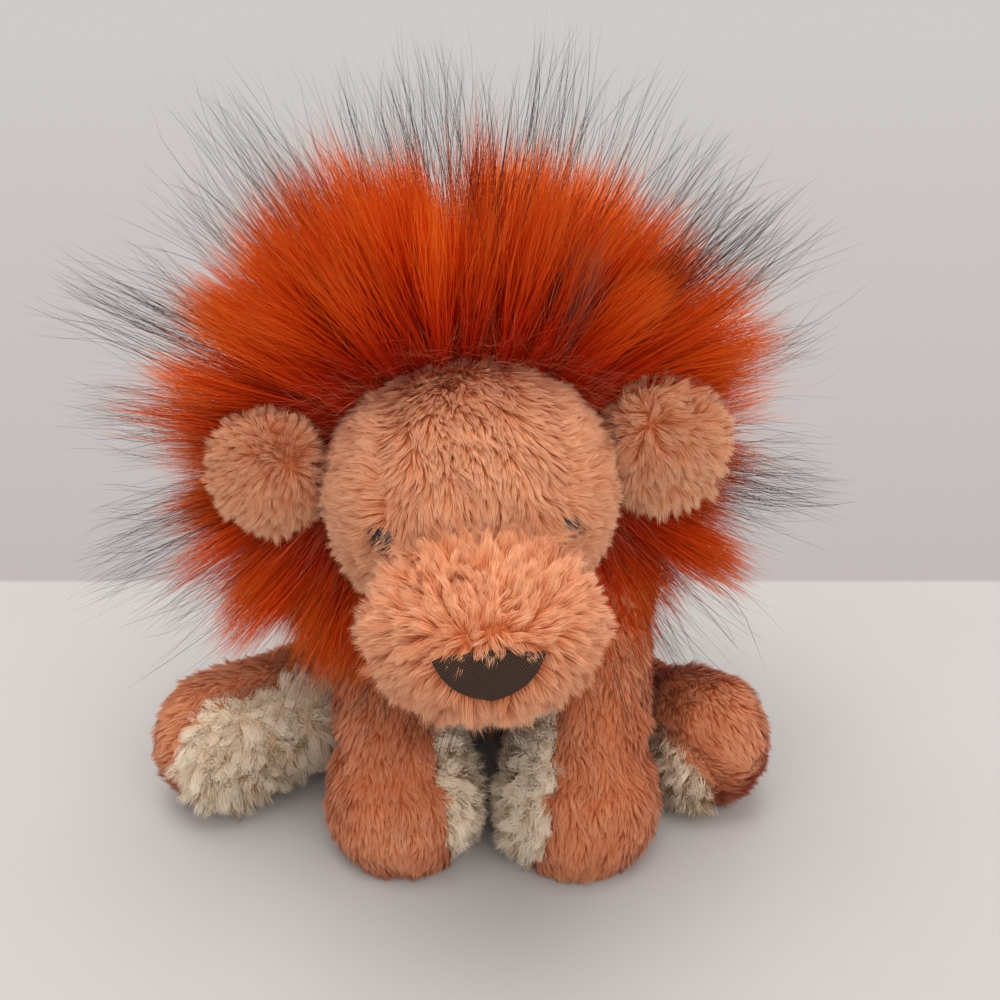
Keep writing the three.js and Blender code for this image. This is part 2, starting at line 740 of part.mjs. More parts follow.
// Mane: deep pile over the back of the head, drawn out into rows of locks
function buildMane() {
  const pile_half = new THREE.Vector3(
    mane.pile_half_width, mane.pile_length, mane.pile_half_height,
  );
  const whole = ellipsoid(middle, pile_half, axis_y, facets.pile_sides, facets.pile_rings);
  const fan_at = new THREE.Vector3(0, mane.locks_back, 0);
  const parts = [solid(whole)];
  for (const row of mane.rows) {
    for (let i = 0; i < row.locks; i += 1) {
      const angle = (2 * Math.PI * (i + row.turn_share)) / row.locks;
      const lean = radians(row.lean_degrees);
      const direction = new THREE.Vector3()
        .addScaledVector(axis_x, Math.cos(angle) * Math.cos(lean))
        .addScaledVector(axis_z, Math.sin(angle) * Math.cos(lean))
        .addScaledVector(axis_y, Math.sin(lean));
      if (direction.z < mane.lowest_share) continue;
      const reach = reachInside(fan_at, direction, pile_half);
      const stagger = i % 2 ? mane.lock_short : 0;
      const start = reach - mane.lock_sink;
      const length = mane.reach * row.tip_share - stagger - start;
      const from = fan_at.clone().addScaledVector(direction, start);
      parts.push(lock(from, direction, length, mane.lock_half_width, mane.lock_sag));
    }
  }
  const room = mane.body_room;
  const caps = { start_share: torso.cap_start_share, end_share: torso.cap_end_share };
  const swollen = drawnIn(torso_sections, -room);
  const shape = loft(swollen, axis_x, caps, outer_skin.sides, outer_skin.rings);
  const rump_shape = ellipsoid(
    rump_at, rump_half.clone().addScalar(room), axis_z, facets.core.head_sides, facets.core.head_rings,
  );
  const torso_room = solid(shape, to_head).add(solid(rump_shape, to_head));
  const crown_back = new THREE.Vector3(0, 1, mane.crown_slope).normalize();
  const crown_at = new THREE.Vector3(0, mane.rim_back, 0)
    .addScaledVector(new THREE.Vector3(0, -mane.rim_slope, 1), mane.crown_height)
    .addScaledVector(axis_y, fabric.seam_gap);
  let body = wasm.Manifold.union(parts)
    .intersect(halfSpace(crown_at, crown_back))
    .intersect(halfSpace(rim_at.clone().addScaledVector(back_of_rim, fabric.seam_gap), back_of_rim))
    .intersect(halfSpace(new THREE.Vector3(0, 0, -mane.pile_drop), axis_z))
    .subtract(skullShape(-fabric.fill_gap))
    .subtract(neckRoom(room))
    .subtract(torso_room);
  for (const limb of limbs.slice(0, 2)) {
    body = body.subtract(solid(ball(limb.at, limb.radius + room, limb.axis, outer_skin), to_head));
  }
  for (const side of [-1, 1]) {
    const at = new THREE.Vector3(side * (ear_hinge_side + ear_out), ear.behind, ear.rise);
    const nest_half = new THREE.Vector3(
      ear.half_width + ear.nest_room,
      ear.half_thickness + ear.nest_depth,
      ear.half_height + ear.nest_room,
    );
    body = body.subtract(
      solid(ellipsoid(at, nest_half, axis_y, facets.ear_sides, facets.ear_rings)),
    );
  }
  head_place.add(piece('mane_pile', body, finishes.mane_pile));
}

// Tail: a plush tube on a ball in the rump, with a tuft of the mane's hair at its end
function buildTail() {
  const place = new THREE.Group();
  place.name = 'tail';
  place.position.copy(tail_at);
  const sections = [tail.bend, tail.run, tail.end].map((stop) => ({
    at: new THREE.Vector3(stop.side, stop.back, stop.height - tail.root_height),
    half_width: tail.radius,
    half_depth: tail.radius,
  }));
  sections.unshift({ at: middle.clone(), half_width: tail.radius, half_depth: tail.radius });
  const caps = { start_share: tail.cap_share, end_share: tail.cap_share };
  const tube = (swell) => solid(
    loft(drawnIn(sections, -swell), axis_z, caps, facets.core.sides, facets.outer.rings),
  );
  const above = aboveFloor(-tail.root_height);
  const root = solid(ball(middle, tail.ball_radius, axis_z, facets.core));
  const sleeve = tube(0).add(root).intersect(above);
  const end = sections[sections.length - 1].at;
  const way = end.clone().sub(sections[sections.length - 2].at);
  way.z = 0;
  way.normalize();
  const level = new THREE.Vector3(end.x, end.y, tail.tuft_radius - tail.root_height);
  const tuft_sections = tail.tuft_shares.map(([along, wide]) => ({
    at: level.clone().addScaledVector(way, tail.tuft_length * along),
    half_width: tail.tuft_radius * wide,
    half_depth: tail.tuft_radius * wide,
  }));
  const tuft = solid(
    loft(tuft_sections, axis_z, caps, facets.core.sides, facets.core.rings),
  ).subtract(tube(fabric.fill_gap)).intersect(above);
  place.add(
    piece('tail_sleeve', sleeve, finishes.plush),
    piece('tail_tuft', tuft, finishes.mane_pile),
  );
  group.add(place);
}

buildTorso();
limbs.forEach(buildLimb);
buildHead();
buildNose();
buildEye(-1, 'right');
buildEye(1, 'left');
buildEar(-1, 'right');
buildEar(1, 'left');
buildMane();
group.add(head_place);
buildTail();

export default group;
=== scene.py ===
"""Plush lion with a long-haired mane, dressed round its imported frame.

Each stuffed part gets a smooth skin drawn from its own sewn panels, with the seams pulled in.
Every skin then grows its fur as real strands with their own length, lie, tuft and twist.
Settings are in millimetres and degrees, and the scene is in metres.
"""

import json
import logging
import math
from dataclasses import dataclass, field
from enum import Enum
from typing import Sequence

import bmesh
import bpy
import numpy as np
from mathutils import Matrix, Quaternion, Vector
from mathutils.bvhtree import BVHTree
from mathutils.kdtree import KDTree


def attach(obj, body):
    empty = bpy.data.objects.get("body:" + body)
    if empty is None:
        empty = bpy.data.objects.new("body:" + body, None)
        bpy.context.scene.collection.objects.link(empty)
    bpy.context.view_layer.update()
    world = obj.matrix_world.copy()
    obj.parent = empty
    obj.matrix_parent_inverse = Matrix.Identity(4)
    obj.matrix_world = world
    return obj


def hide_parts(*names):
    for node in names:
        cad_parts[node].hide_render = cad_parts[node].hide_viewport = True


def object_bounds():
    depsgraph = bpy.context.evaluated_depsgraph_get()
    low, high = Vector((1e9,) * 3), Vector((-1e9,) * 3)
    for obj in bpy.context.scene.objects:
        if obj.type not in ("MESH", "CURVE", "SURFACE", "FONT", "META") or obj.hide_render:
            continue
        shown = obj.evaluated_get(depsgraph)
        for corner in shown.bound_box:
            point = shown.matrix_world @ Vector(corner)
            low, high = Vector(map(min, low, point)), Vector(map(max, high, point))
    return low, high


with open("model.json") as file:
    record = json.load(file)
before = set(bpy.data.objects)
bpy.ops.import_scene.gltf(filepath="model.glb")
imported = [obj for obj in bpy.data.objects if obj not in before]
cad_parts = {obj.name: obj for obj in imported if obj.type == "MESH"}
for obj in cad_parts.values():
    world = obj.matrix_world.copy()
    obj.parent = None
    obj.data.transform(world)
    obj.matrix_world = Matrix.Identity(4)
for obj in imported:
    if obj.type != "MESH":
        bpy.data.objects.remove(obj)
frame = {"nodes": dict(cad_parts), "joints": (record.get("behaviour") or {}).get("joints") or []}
CAD_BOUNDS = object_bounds()

MM = 0.001
FACES_PER_PIECE = 180_000
NOWHERE = 99.0
log = logging.getLogger("lion")
Points = np.ndarray


class Slot(Enum):
    """Material slots of the record."""

    PLUSH = "plush"
    FLEECE = "fleece"
    MANE = "mane_pile"
    BACKING = "mane_backing"
    NOSE = "nose_cloth"
    EYE = "eye_plastic"


# Small helpers


def linear(code: str) -> tuple[float, float, float, float]:
    """Turns an sRGB hex colour into the linear colour that shaders use.

    Args:
        code: Six hex digits after a hash sign.

    Returns:
        Linear red, green, blue and an alpha of one.
    """
    channels = [int(code[i : i + 2], 16) / 255 for i in (1, 3, 5)]
    low = [c / 12.92 if c <= 0.04045 else ((c + 0.055) / 1.055) ** 2.4 for c in channels]
    return (*low, 1.0)


def unit(vectors: Points) -> Points:
    """Scales vectors to length one."""
    return vectors / np.maximum(np.linalg.norm(vectors, axis=-1, keepdims=True), 1e-9)


def across(vectors: Points, normals: Points) -> Points:
    """Takes the part of each vector that lies in the surface."""
    return vectors - normals * np.sum(vectors * normals, axis=-1, keepdims=True)


def spun(vectors: Points, axes: Points, angles: Points) -> Points:
    """Turns vectors about unit axes that they are square to."""
    turn = angles[..., None]
    return vectors * np.cos(turn) + np.cross(axes, vectors) * np.sin(turn)


class Ripple:
    """Smooth random value over space, from about -1 to 1."""

    COUNT = 9

    def __init__(self, size: float, seed: int) -> None:
        """Draws the waves.

        Args:
            size: Length of a typical swell, in millimetres.
            seed: Seed of the random directions.
        """
        rng = np.random.default_rng(seed)
        lengths = size * rng.uniform(0.7, 1.5, (self.COUNT, 1))
        self.waves = unit(rng.normal(size=(self.COUNT, 3))) * 2 * math.pi / lengths
        self.phases = rng.uniform(0, 2 * math.pi, self.COUNT)

    def __call__(self, points: Points) -> Points:
        """Gives the value at points in millimetres."""
        return np.sin(points @ self.waves.T + self.phases).sum(axis=1) / math.sqrt(self.COUNT)


def ripples(points: Points, size: float, seeds: Sequence[int]) -> Points:
    """Gives each point one smooth random value for each seed, side by side."""
    return np.stack([Ripple(size, seed)(points) for seed in seeds], axis=1)


# Materials


def new_material(name: str) -> tuple[bpy.types.Material, bpy.types.NodeTree]:
    """Makes an empty node material.

    Args:
        name: Name of the material.

    Returns:
        The material and its node tree.
    """
    material = bpy.data.materials.new(name)
    material.use_nodes = True
    material.node_tree.nodes.clear()
    return material, material.node_tree


def add(
    tree: bpy.types.NodeTree,
    kind: str,
    links: dict[str | int, object] | None = None,
    stops: Sequence[tuple[float, str]] = (),
    **settings: object,
) -> bpy.types.Node:
    """Adds one node with its settings and what feeds it.

    Args:
        tree: The node tree.
        kind: Node type without the leading ShaderNode.
        links: Input name or number to a socket, or to a plain value.
        stops: Places from 0 to 1 with their hex colours, where the node is a colour ramp.
        **settings: Properties of the node.

    Returns:
        The new node.
    """
    node = tree.nodes.new(f"ShaderNode{kind}")
    for key, value in settings.items():
        setattr(node, key, value)
    for key, value in (links or {}).items():
        if isinstance(value, bpy.types.NodeSocket):
            tree.links.new(value, node.inputs[key])
        else:
            node.inputs[key].default_value = value
    for number, (place, code) in enumerate(stops):
        elements = node.color_ramp.elements
        element = elements[number] if number < len(elements) else elements.new(1.0)
        element.position = place
        element.color = linear(code)
    return node


@dataclass(frozen=True)
class FurDye:
    """Colour along a hair, for the darkest and the palest hair of a coat.

    Attributes:
        name: What the hair is made of and how it is dyed.
        dark: Stops from root to tip of the darkest hair.
        pale: Stops from root to tip of the palest hair.
        roughness: How matt the fibre is.
        sheen: Weight of the soft glow at grazing angles.
        specular: Level of the fibre's shine.
    """

    name: str
    dark: tuple[tuple[float, str], ...]
    pale: tuple[tuple[float, str], ...]
    roughness: float = 0.75
    sheen: float = 0.25
    specular: float = 0.25

    def build(self) -> bpy.types.Material:
        """Makes the material: the FurMap's u picks the hair's tone and v runs root to tip.

        Returns:
            The material.
        """
        material, tree = new_material(self.name)
        place = add(tree, "UVMap", uv_map="FurMap").outputs["UV"]
        tone, along, _ = add(tree, "SeparateXYZ", {"Vector": place}).outputs
        dark = add(tree, "ValToRGB", {"Fac": along}, self.dark).outputs["Color"]
        pale = add(tree, "ValToRGB", {"Fac": along}, self.pale).outputs["Color"]
        mix = add(tree, "Mix", {0: tone, 6: dark, 7: pale}, data_type="RGBA")
        fibre = {"Base Color": mix.outputs[2], "Roughness": self.roughness}
        fibre |= {"Specular IOR Level": self.specular}
        fibre |= {"Sheen Weight": self.sheen, "Sheen Roughness": 0.5}
        shader = add(tree, "BsdfPrincipled", fibre)
        add(tree, "OutputMaterial", {"Surface": shader.outputs["BSDF"]})
        return material


@dataclass(frozen=True)
class KnitCloth:
    """Knitted backing that shows between the hairs.

    Attributes:
        name: What the cloth is.
        dark: Colour in the hollows of the knit.
        pale: Colour on top of the loops.
        loop: Size of one loop, in millimetres.
        relief: Height of a loop, in millimetres.
        cloud: Size of a patch in the dye, in millimetres.
    """

    name: str
    dark: str
    pale: str
    loop: float = 1.1
    relief: float = 0.4
    cloud: float = 9.0

    def build(self) -> bpy.types.Material:
        """Makes the cloth: a fine mottle with a slight relief, so gaps in the fur look soft.

        Returns:
            The material.
        """
        material, tree = new_material(self.name)
        place = add(tree, "TexCoord").outputs["Object"]
        loops = {"Vector": place, "Scale": 1 / (self.loop * MM)}
        loops = add(tree, "TexVoronoi", loops).outputs["Distance"]
        cloud = {"Vector": place, "Scale": 1 / (self.cloud * MM), "Detail": 3.0}
        cloud = add(tree, "TexNoise", cloud).outputs["Fac"]
        both = add(tree, "Math", {0: loops, 1: cloud}, operation="MULTIPLY").outputs[0]
        colour = add(tree, "ValToRGB", {"Fac": both}, ((0.1, self.dark), (0.6, self.pale)))
        height = {"Height": loops, "Strength": 0.4, "Distance": self.relief * MM}
        yarn = {"Base Color": colour.outputs["Color"], "Roughness": 0.95}
        yarn |= {"Specular IOR Level": 0.1, "Normal": add(tree, "Bump", height).outputs["Normal"]}
        shader = add(tree, "BsdfPrincipled", yarn)
        add(tree, "OutputMaterial", {"Surface": shader.outputs["BSDF"]})
        return material


@dataclass(frozen=True)
class NoseTwill:
    """Dark cloth of the nose, woven in fine diagonal ribs.

    Attributes:
        rib: Distance between two ribs, in millimetres.
        relief: Height of a rib, in millimetres.
        lint: Size of the flecks of lint on it, in millimetres.
        angles: Slopes of the two sets of threads, in degrees.
        dark: Colour between the threads.
        pale: Colour on top of the threads.
    """

    rib: float = 0.62
    relief: float = 0.25
    lint: float = 0.5
    angles: tuple[float, float] = (38, -52)
    dark: str = "#241812"
    pale: str = "#5c4638"

    # A band texture repeats once in pi/10 of its own units
    WAVE_SCALE = 0.314

    def build(self) -> bpy.types.Material:
        """Makes the twill: two crossing sets of threads raised into a diagonal relief.

        Returns:
            The material.
        """
        material, tree = new_material("nose twill, brown-grey woven polyester")
        place = add(tree, "TexCoord").outputs["Object"]
        ribs = []
        for angle in self.angles:
            slope = (0, math.radians(angle), 0)
            turned = add(tree, "Mapping", {"Vector": place, "Rotation": slope}).outputs["Vector"]
            bands = {"Vector": turned, "Scale": self.WAVE_SCALE / (self.rib * MM)}
            bands |= {"Distortion": 0.6, "Detail": 1.0}
            ribs.append(add(tree, "TexWave", bands, wave_type="BANDS", bands_direction="X"))
        crossed = {0: ribs[0].outputs["Fac"], 1: ribs[1].outputs["Fac"]}
        weave = add(tree, "Math", crossed, operation="MULTIPLY").outputs[0]
        lint = {"Vector": place, "Scale": 1 / (self.lint * MM), "Detail": 2.0}
        flecks = {0: add(tree, "TexNoise", lint).outputs["Fac"], 1: 0.35, 2: weave}
        total = add(tree, "Math", flecks, operation="MULTIPLY_ADD").outputs[0]
        colour = add(tree, "ValToRGB", {"Fac": total}, ((0.15, self.dark), (0.9, self.pale)))
        height = {"Height": weave, "Strength": 0.8, "Distance": self.relief * MM}
        cloth = {"Base Color": colour.outputs["Color"], "Roughness": 0.8}
        cloth |= {"Specular IOR Level": 0.12, "Sheen Weight": 0.05}
        cloth |= {"Normal": add(tree, "Bump", height).outputs["Normal"]}
        shader = add(tree, "BsdfPrincipled", cloth)
        add(tree, "OutputMaterial", {"Surface": shader.outputs["BSDF"]})
        return material


@dataclass(frozen=True)
class EyePlastic:
    """Moulded and polished plastic of the eyes, nearly black with a brown depth.

    Attributes:
        core: Darkest colour, in most of the dome.
        edge: Brown of the swirls in it.
        swirl: Size of a swirl, in millimetres.
    """

    core: str = "#120906"
    edge: str = "#4a2512"
    swirl: float = 3.0

    def build(self) -> bpy.types.Material:
        """Makes the plastic: a wet-looking dome with faint swirls in the brown.

        Returns:
            The material.
        """
        material, tree = new_material("eye plastic, polished dark brown acrylic")
        place = add(tree, "TexCoord").outputs["Object"]
        swirl = {"Vector": place, "Scale": 1 / (self.swirl * MM), "Detail": 2.0}
        swirl = add(tree, "TexNoise", swirl).outputs["Fac"]
        colour = add(tree, "ValToRGB", {"Fac": swirl}, ((0.4, self.core), (0.8, self.edge)))
        acrylic = {"Base Color": colour.outputs["Color"], "Roughness": 0.1}
        acrylic |= {"IOR": 1.49, "Specular IOR Level": 0.4}
        shader = add(tree, "BsdfPrincipled", acrylic)
        add(tree, "OutputMaterial", {"Surface": shader.outputs["BSDF"]})
        return material


@dataclass(frozen=True)
class WasherNylon:
    """Pale moulded nylon of the washers behind the eyes.

    Attributes:
        dark: Colour of its clouds.
        pale: Colour between them.
        cloud: Size of a cloud, in millimetres.
    """

    dark: str = "#cfcdc4"
    pale: str = "#ecebe4"
    cloud: float = 2.0

    def build(self) -> bpy.types.Material:
        """Makes the nylon: slightly cloudy, with the soft grain of a moulding.

        Returns:
            The material.
        """
        material, tree = new_material("washer, moulded nylon")
        place = add(tree, "TexCoord").outputs["Object"]
        cloud = {"Vector": place, "Scale": 1 / (self.cloud * MM), "Detail": 3.0}
        cloud = add(tree, "TexNoise", cloud).outputs["Fac"]
        colour = add(tree, "ValToRGB", {"Fac": cloud}, ((0.3, self.dark), (0.7, self.pale)))
        nylon = {"Base Color": colour.outputs["Color"], "Roughness": 0.45, "IOR": 1.53}
        shader = add(tree, "BsdfPrincipled", nylon)
        add(tree, "OutputMaterial", {"Surface": shader.outputs["BSDF"]})
        return material


Finish = FurDye | KnitCloth | NoseTwill | EyePlastic | WasherNylon

# Matt fibre, deep orange at the root and paler at the tip, so each tuft has a light edge
PLUSH_DYE = FurDye(
    "short plush, orange polyester with pale tips",
    dark=((0.0, "#b0441a"), (0.35, "#d27042"), (1.0, "#df9468")),
    pale=((0.0, "#ca6230"), (0.35, "#e99a68"), (1.0, "#f3c29c")),
    sheen=0.15,
    specular=0.15,
)
# Warm cream, nearly even along the fibre, so only the curls' own shade draws them
FLEECE_DYE = FurDye(
    "curly fleece, cream polyester",
    dark=((0.0, "#ecc8a0"), (0.4, "#f8dcba"), (1.0, "#fce6ca")),
    pale=((0.0, "#f4d8b4"), (0.4, "#ffecd0"), (1.0, "#fff4e0")),
    sheen=0.05,
    specular=0.1,
)
# Saturated red that turns orange outwards, with the low shine of modacrylic
MANE_DYE = FurDye(
    "long mane fur, modacrylic dyed red to orange",
    dark=((0.0, "#a81606"), (0.35, "#bc2205"), (0.7, "#d64008"), (1.0, "#cc5c1a")),
    pale=((0.0, "#cc2806"), (0.35, "#e23c06"), (0.7, "#f46614"), (1.0, "#f68c34")),
    roughness=0.6,
    sheen=0.0,
    specular=0.12,
)
# Orange below and charcoal above, so dark tips stand round a bright mane
GUARD_DYE = FurDye(
    "guard hair, modacrylic with charcoal tips",
    dark=((0.0, "#7a1a06"), (0.42, "#b83008"), (0.56, "#2a1a17"), (1.0, "#0f0d0e")),
    pale=((0.0, "#a62f0c"), (0.52, "#d84a12"), (0.68, "#3a2825"), (1.0, "#2a2627")),
    roughness=0.5,
    sheen=0.0,
    specular=0.12,
)
# Thin and glossier, and painted paler than the mane behind it as a painted highlight on single
# hairs
STRAY_DYE = FurDye(
    "stray mane hair, modacrylic painted paler as a highlight",
    dark=((0.0, "#9a2408"), (0.5, "#cc4a20"), (1.0, "#b85a3c")),
    pale=((0.0, "#d44a20"), (0.5, "#f07c50"), (1.0, "#f6b898")),
    roughness=0.45,
    sheen=0.05,
    specular=0.3,
)
# Brown-grey from the root on, so one tangled lock reads dark against the orange
WISP_DYE = FurDye(
    "tangled guard hair, modacrylic dyed charcoal",
    dark=((0.0, "#4a1810"), (0.3, "#54302a"), (1.0, "#5e403a")),
    pale=((0.0, "#8a3a2a"), (0.3, "#8c5a4e"), (1.0, "#a67a6c")),
    roughness=0.5,
    sheen=0.0,
    specular=0.2,
)
# Loops in the coats' own colours, so that the gaps in the fur look deep and not bald
PLUSH_CLOTH = KnitCloth("plush backing, orange knit", dark="#b8602f", pale="#dc8c5c")
FLEECE_CLOTH = KnitCloth("fleece backing, cream knit", dark="#d8c09c", pale="#f0e0c4")
MANE_CLOTH = KnitCloth("fur backing, rust-red knit", dark="#3a0d04", pale="#7a200a")


class Wardrobe:
    """Makes each finish once and hands it out by name."""

    def __init__(self) -> None:
        """Starts with nothing made."""
        self.made: dict[str, bpy.types.Material] = {}

    def get(self, finish: Finish) -> bpy.types.Material:
        """Gives the material of a finish, made at its first use.

        Args:
            finish: The finish.

        Returns:
            Its material.
        """
        key = repr(finish)
        if key not in self.made:
            self.made[key] = finish.build()
        return self.made[key]


wardrobe = Wardrobe()


# Skins of the stuffed parts


def joint_of(child: str) -> dict:
    """Gives the joint that moves a body."""
    return next(joint for joint in frame["joints"] if joint["child"] == child)


def pivot_of(child: str) -> Points:
    """Gives the middle of a body's joint, in millimetres."""
    return np.array(joint_of(child)["pos_m"]) / MM


def finish_piece(
    piece: bpy.types.Object,
    finish: Finish,
    body: str,
    nodes: Sequence[str] = (),
) -> bpy.types.Object:
    """Gives a piece its finish, lets it ride on its body and stand for its CAD nodes.

    Args:
        piece: The new object, already in place.
        finish: What it is made of.
        body: The body that it rides on.
        nodes: CAD nodes that it stands for.

    Returns:
        The same piece.
    """
    piece.data.materials.append(wardrobe.get(finish))
    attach(piece, body)
    if nodes:
        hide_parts(*nodes)
    log.info("%s rides on %s with %d faces", piece.name, body, len(piece.data.polygons))
    return piece


def mesh_object(name: str, points: Points, triangles: Points) -> bpy.types.Object:
    """Makes a smooth-shaded object.

    Args:
        name: Name of the object.
        points: Its corners, in metres.
        triangles: Its faces, as numbers of corners.

    Returns:
        The object.
    """
    mesh = bpy.data.meshes.new(name)
    mesh.vertices.add(len(points))
    mesh.vertices.foreach_set("co", np.ascontiguousarray(points, np.float32).ravel())
    corners = np.ascontiguousarray(triangles, np.int32).ravel()
    mesh.loops.add(len(corners))
    mesh.loops.foreach_set("vertex_index", corners)
    mesh.polygons.add(len(triangles))
    mesh.polygons.foreach_set("loop_start", np.arange(0, len(corners), 3, dtype=np.int32))
    mesh.update(calc_edges=True)
    mesh.validate()
    piece = bpy.data.objects.new(name, mesh)
    bpy.context.scene.collection.objects.link(piece)
    return piece


def largest_island(points: Points, triangles: Points) -> tuple[Points, Points]:
    """Keeps the connected part of a mesh that has the most corners.

    Args:
        points: Corners of the mesh.
        triangles: Its faces.

    Returns:
        The corners and faces of that part.
    """
    label = np.arange(len(points))
    while True:
        lowest = label[triangles].min(axis=1)
        after = label.copy()
        for corner in range(3):
            np.minimum.at(after, triangles[:, corner], lowest)
        after = after[after]
        if np.array_equal(after, label):
            break
        label = after
    names, counts = np.unique(label, return_counts=True)
    kept = label == names[counts.argmax()]
    number = np.cumsum(kept) - 1
    return points[kept], number[triangles[kept[triangles[:, 0]]]]


class Panel:
    """One sewn CAD panel, for finding how near a point is to it."""

    def __init__(self, node: str) -> None:
        """Reads the panel's faces from the frame.

        Args:
            node: Name of the CAD node.
        """
        mesh = frame["nodes"][node].data
        self.tree = BVHTree.FromPolygons(
            [tuple(v.co) for v in mesh.vertices], [tuple(p.vertices) for p in mesh.polygons]
        )

    def nearest(self, points: Points) -> tuple[Points, Points]:
        """Finds the panel's nearest place to each point.

        Args:
            points: Places in millimetres.

        Returns:
            The nearest places and their distances, in millimetres.
        """
        places = np.empty_like(points)
        for i, point in enumerate(points * MM):
            places[i] = self.tree.find_nearest(point)[0]
        places /= MM
        return places, np.linalg.norm(places - points, axis=1)


@dataclass
class Roots:
    """Where the hairs of one panel leave the cloth, in millimetres.

    Attributes:
        points: Places on the skin.
        normals: Ways out of the skin.
        seam: Distance from the nearest seam.
        away: Direction away from that seam, in the surface.
    """

    points: Points
    normals: Points
    seam: Points
    away: Points

    def only(self, kept: Points) -> "Roots":
        """Gives the roots that a mask keeps."""
        return Roots(self.points[kept], self.normals[kept], self.seam[kept], self.away[kept])


class Skin:
    """Smooth outside of a stuffed part, drawn from its CAD panels with the seams pulled in.

    Attributes:
        INSET_BLEND: Distance from a seam, in millimetres, over which two panels share their insets.
        SEAM_WIDTH: Width of the groove that the thread pulls, in millimetres.
        CLEARANCE: Height of the lowest cloth over the floor, in millimetres.
        BORDER_SWELL: Length of the swells in a border between two furs, in millimetres.
        BORDER_WANDER: How far those swells carry it, in millimetres.
        BORDER_FRAY: How far single hairs stand over it, in millimetres.
    """

    INSET_BLEND = 8.0
    SEAM_WIDTH = 2.4
    CLEARANCE = 0.4
    BORDER_SWELL = 7.0
    BORDER_WANDER = 0.8
    BORDER_FRAY = 0.4

    def __init__(
        self,
        nodes: Sequence[str],
        voxel: float,
        smoothing: int,
        seam_depth: float = 0.0,
        insets: Sequence[float] = (),
    ) -> None:
        """Draws the skin.

        Args:
            nodes: CAD panels that it covers.
            voxel: Fineness of the skin, in millimetres.
            smoothing: Smoothing passes.
            seam_depth: How far the thread pulls a seam in, in millimetres.
            insets: How far each panel's cloth lies below the CAD surface, which gives its fur
                room.
        """
        self.panels = [Panel(node) for node in nodes]
        self.points, self.triangles = self.draft(nodes, voxel, smoothing)
        self.normals = self.vertex_normals()
        self.survey()
        if insets:
            share = 0.5 + 0.5 * np.clip(self.seam / self.INSET_BLEND, 0, 1)
            depth = np.array(insets)[self.own] * share + np.array(insets)[self.other] * (1 - share)
            self.push(-depth)
        if seam_depth > 0:
            self.push(-seam_depth * np.exp(-((self.seam / self.SEAM_WIDTH) ** 2)))
        self.points[:, 2] = np.maximum(self.points[:, 2], self.CLEARANCE)

    def push(self, distance: Points) -> None:
        """Moves each corner out by its distance, in millimetres."""
        self.points += self.normals * distance[:, None]
        self.normals = self.vertex_normals()

    @staticmethod
    def draft(nodes: Sequence[str], voxel: float, smoothing: int) -> tuple[Points, Points]:
        """Melts the panels into one closed surface and smooths it.

        Args:
            nodes: CAD panels.
            voxel: Fineness in millimetres.
            smoothing: Smoothing passes.

        Returns:
            Points in millimetres and triangles.
        """
        joined = bmesh.new()
        for node in nodes:
            joined.from_mesh(frame["nodes"][node].data)
        mesh = bpy.data.meshes.new("draft")
        joined.to_mesh(mesh)
        joined.free()
        draft = bpy.data.objects.new("draft", mesh)
        bpy.context.scene.collection.objects.link(draft)
        remesh = draft.modifiers.new("remesh", "REMESH")
        remesh.mode = "VOXEL"
        remesh.voxel_size = voxel * MM
        soften = draft.modifiers.new("soften", "SMOOTH")
        soften.factor = 0.5
        soften.iterations = smoothing
        graph = bpy.context.evaluated_depsgraph_get()
        shape = bpy.data.meshes.new_from_object(draft.evaluated_get(graph))
        shape.calc_loop_triangles()
        points = np.empty(3 * len(shape.vertices), np.float32)
        shape.vertices.foreach_get("co", points)
        triangles = np.empty(3 * len(shape.loop_triangles), np.int32)
        shape.loop_triangles.foreach_get("vertices", triangles)
        bpy.data.objects.remove(draft)
        bpy.data.meshes.remove(mesh)
        bpy.data.meshes.remove(shape)
        return largest_island(points.reshape(-1, 3).astype(float) / MM, triangles.reshape(-1, 3))

    def vertex_normals(self) -> Points:
        """Averages the faces round each corner.

        Returns:
            The way out of the skin at each corner.
        """
        a, b, c = (self.points[self.triangles[:, i]] for i in range(3))
        faces = np.cross(b - a, c - a)
        total = np.zeros_like(self.points)
        for corner in range(3):
            np.add.at(total, self.triangles[:, corner], faces)
        return unit(total)

    def survey(self) -> None:
        """Notes for each corner its panel, the next panel, and how far and which way that lies."""
        found = [panel.nearest(self.points) for panel in self.panels]
        self.reach = np.stack([distance for _, distance in found])
        every = np.arange(len(self.points))
        self.own = self.reach.argmin(axis=0)
        if len(found) == 1:
            self.other = self.own
            self.seam = np.full(len(self.points), NOWHERE)
            self.away = np.zeros_like(self.points)
            return
        rest = self.reach.copy()
        rest[self.own, every] = np.inf
        self.other = rest.argmin(axis=0)
        self.seam = rest.min(axis=0)
        self.away = self.points - np.stack([place for place, _ in found])[self.other, every]

    def wall(self) -> BVHTree:
        """Gives the skin as something that hair lies on."""
        return BVHTree.FromPolygons((self.points * MM).tolist(), self.triangles.tolist())

    def pieces(self, names: Sequence[str]) -> list[bpy.types.Object]:
        """Cuts the skin into one object for each panel.

        Args:
            names: Names of the objects, in the order of the panels.

        Returns:
            The objects.
        """
        own = self.reach[:, self.triangles].mean(axis=2).argmin(axis=0)
        made = []
        for number, name in enumerate(names):
            triangles = self.triangles[own == number]
            used, flat = np.unique(triangles, return_inverse=True)
            made.append(mesh_object(name, self.points[used] * MM, flat.reshape(-1, 3)))
        return made

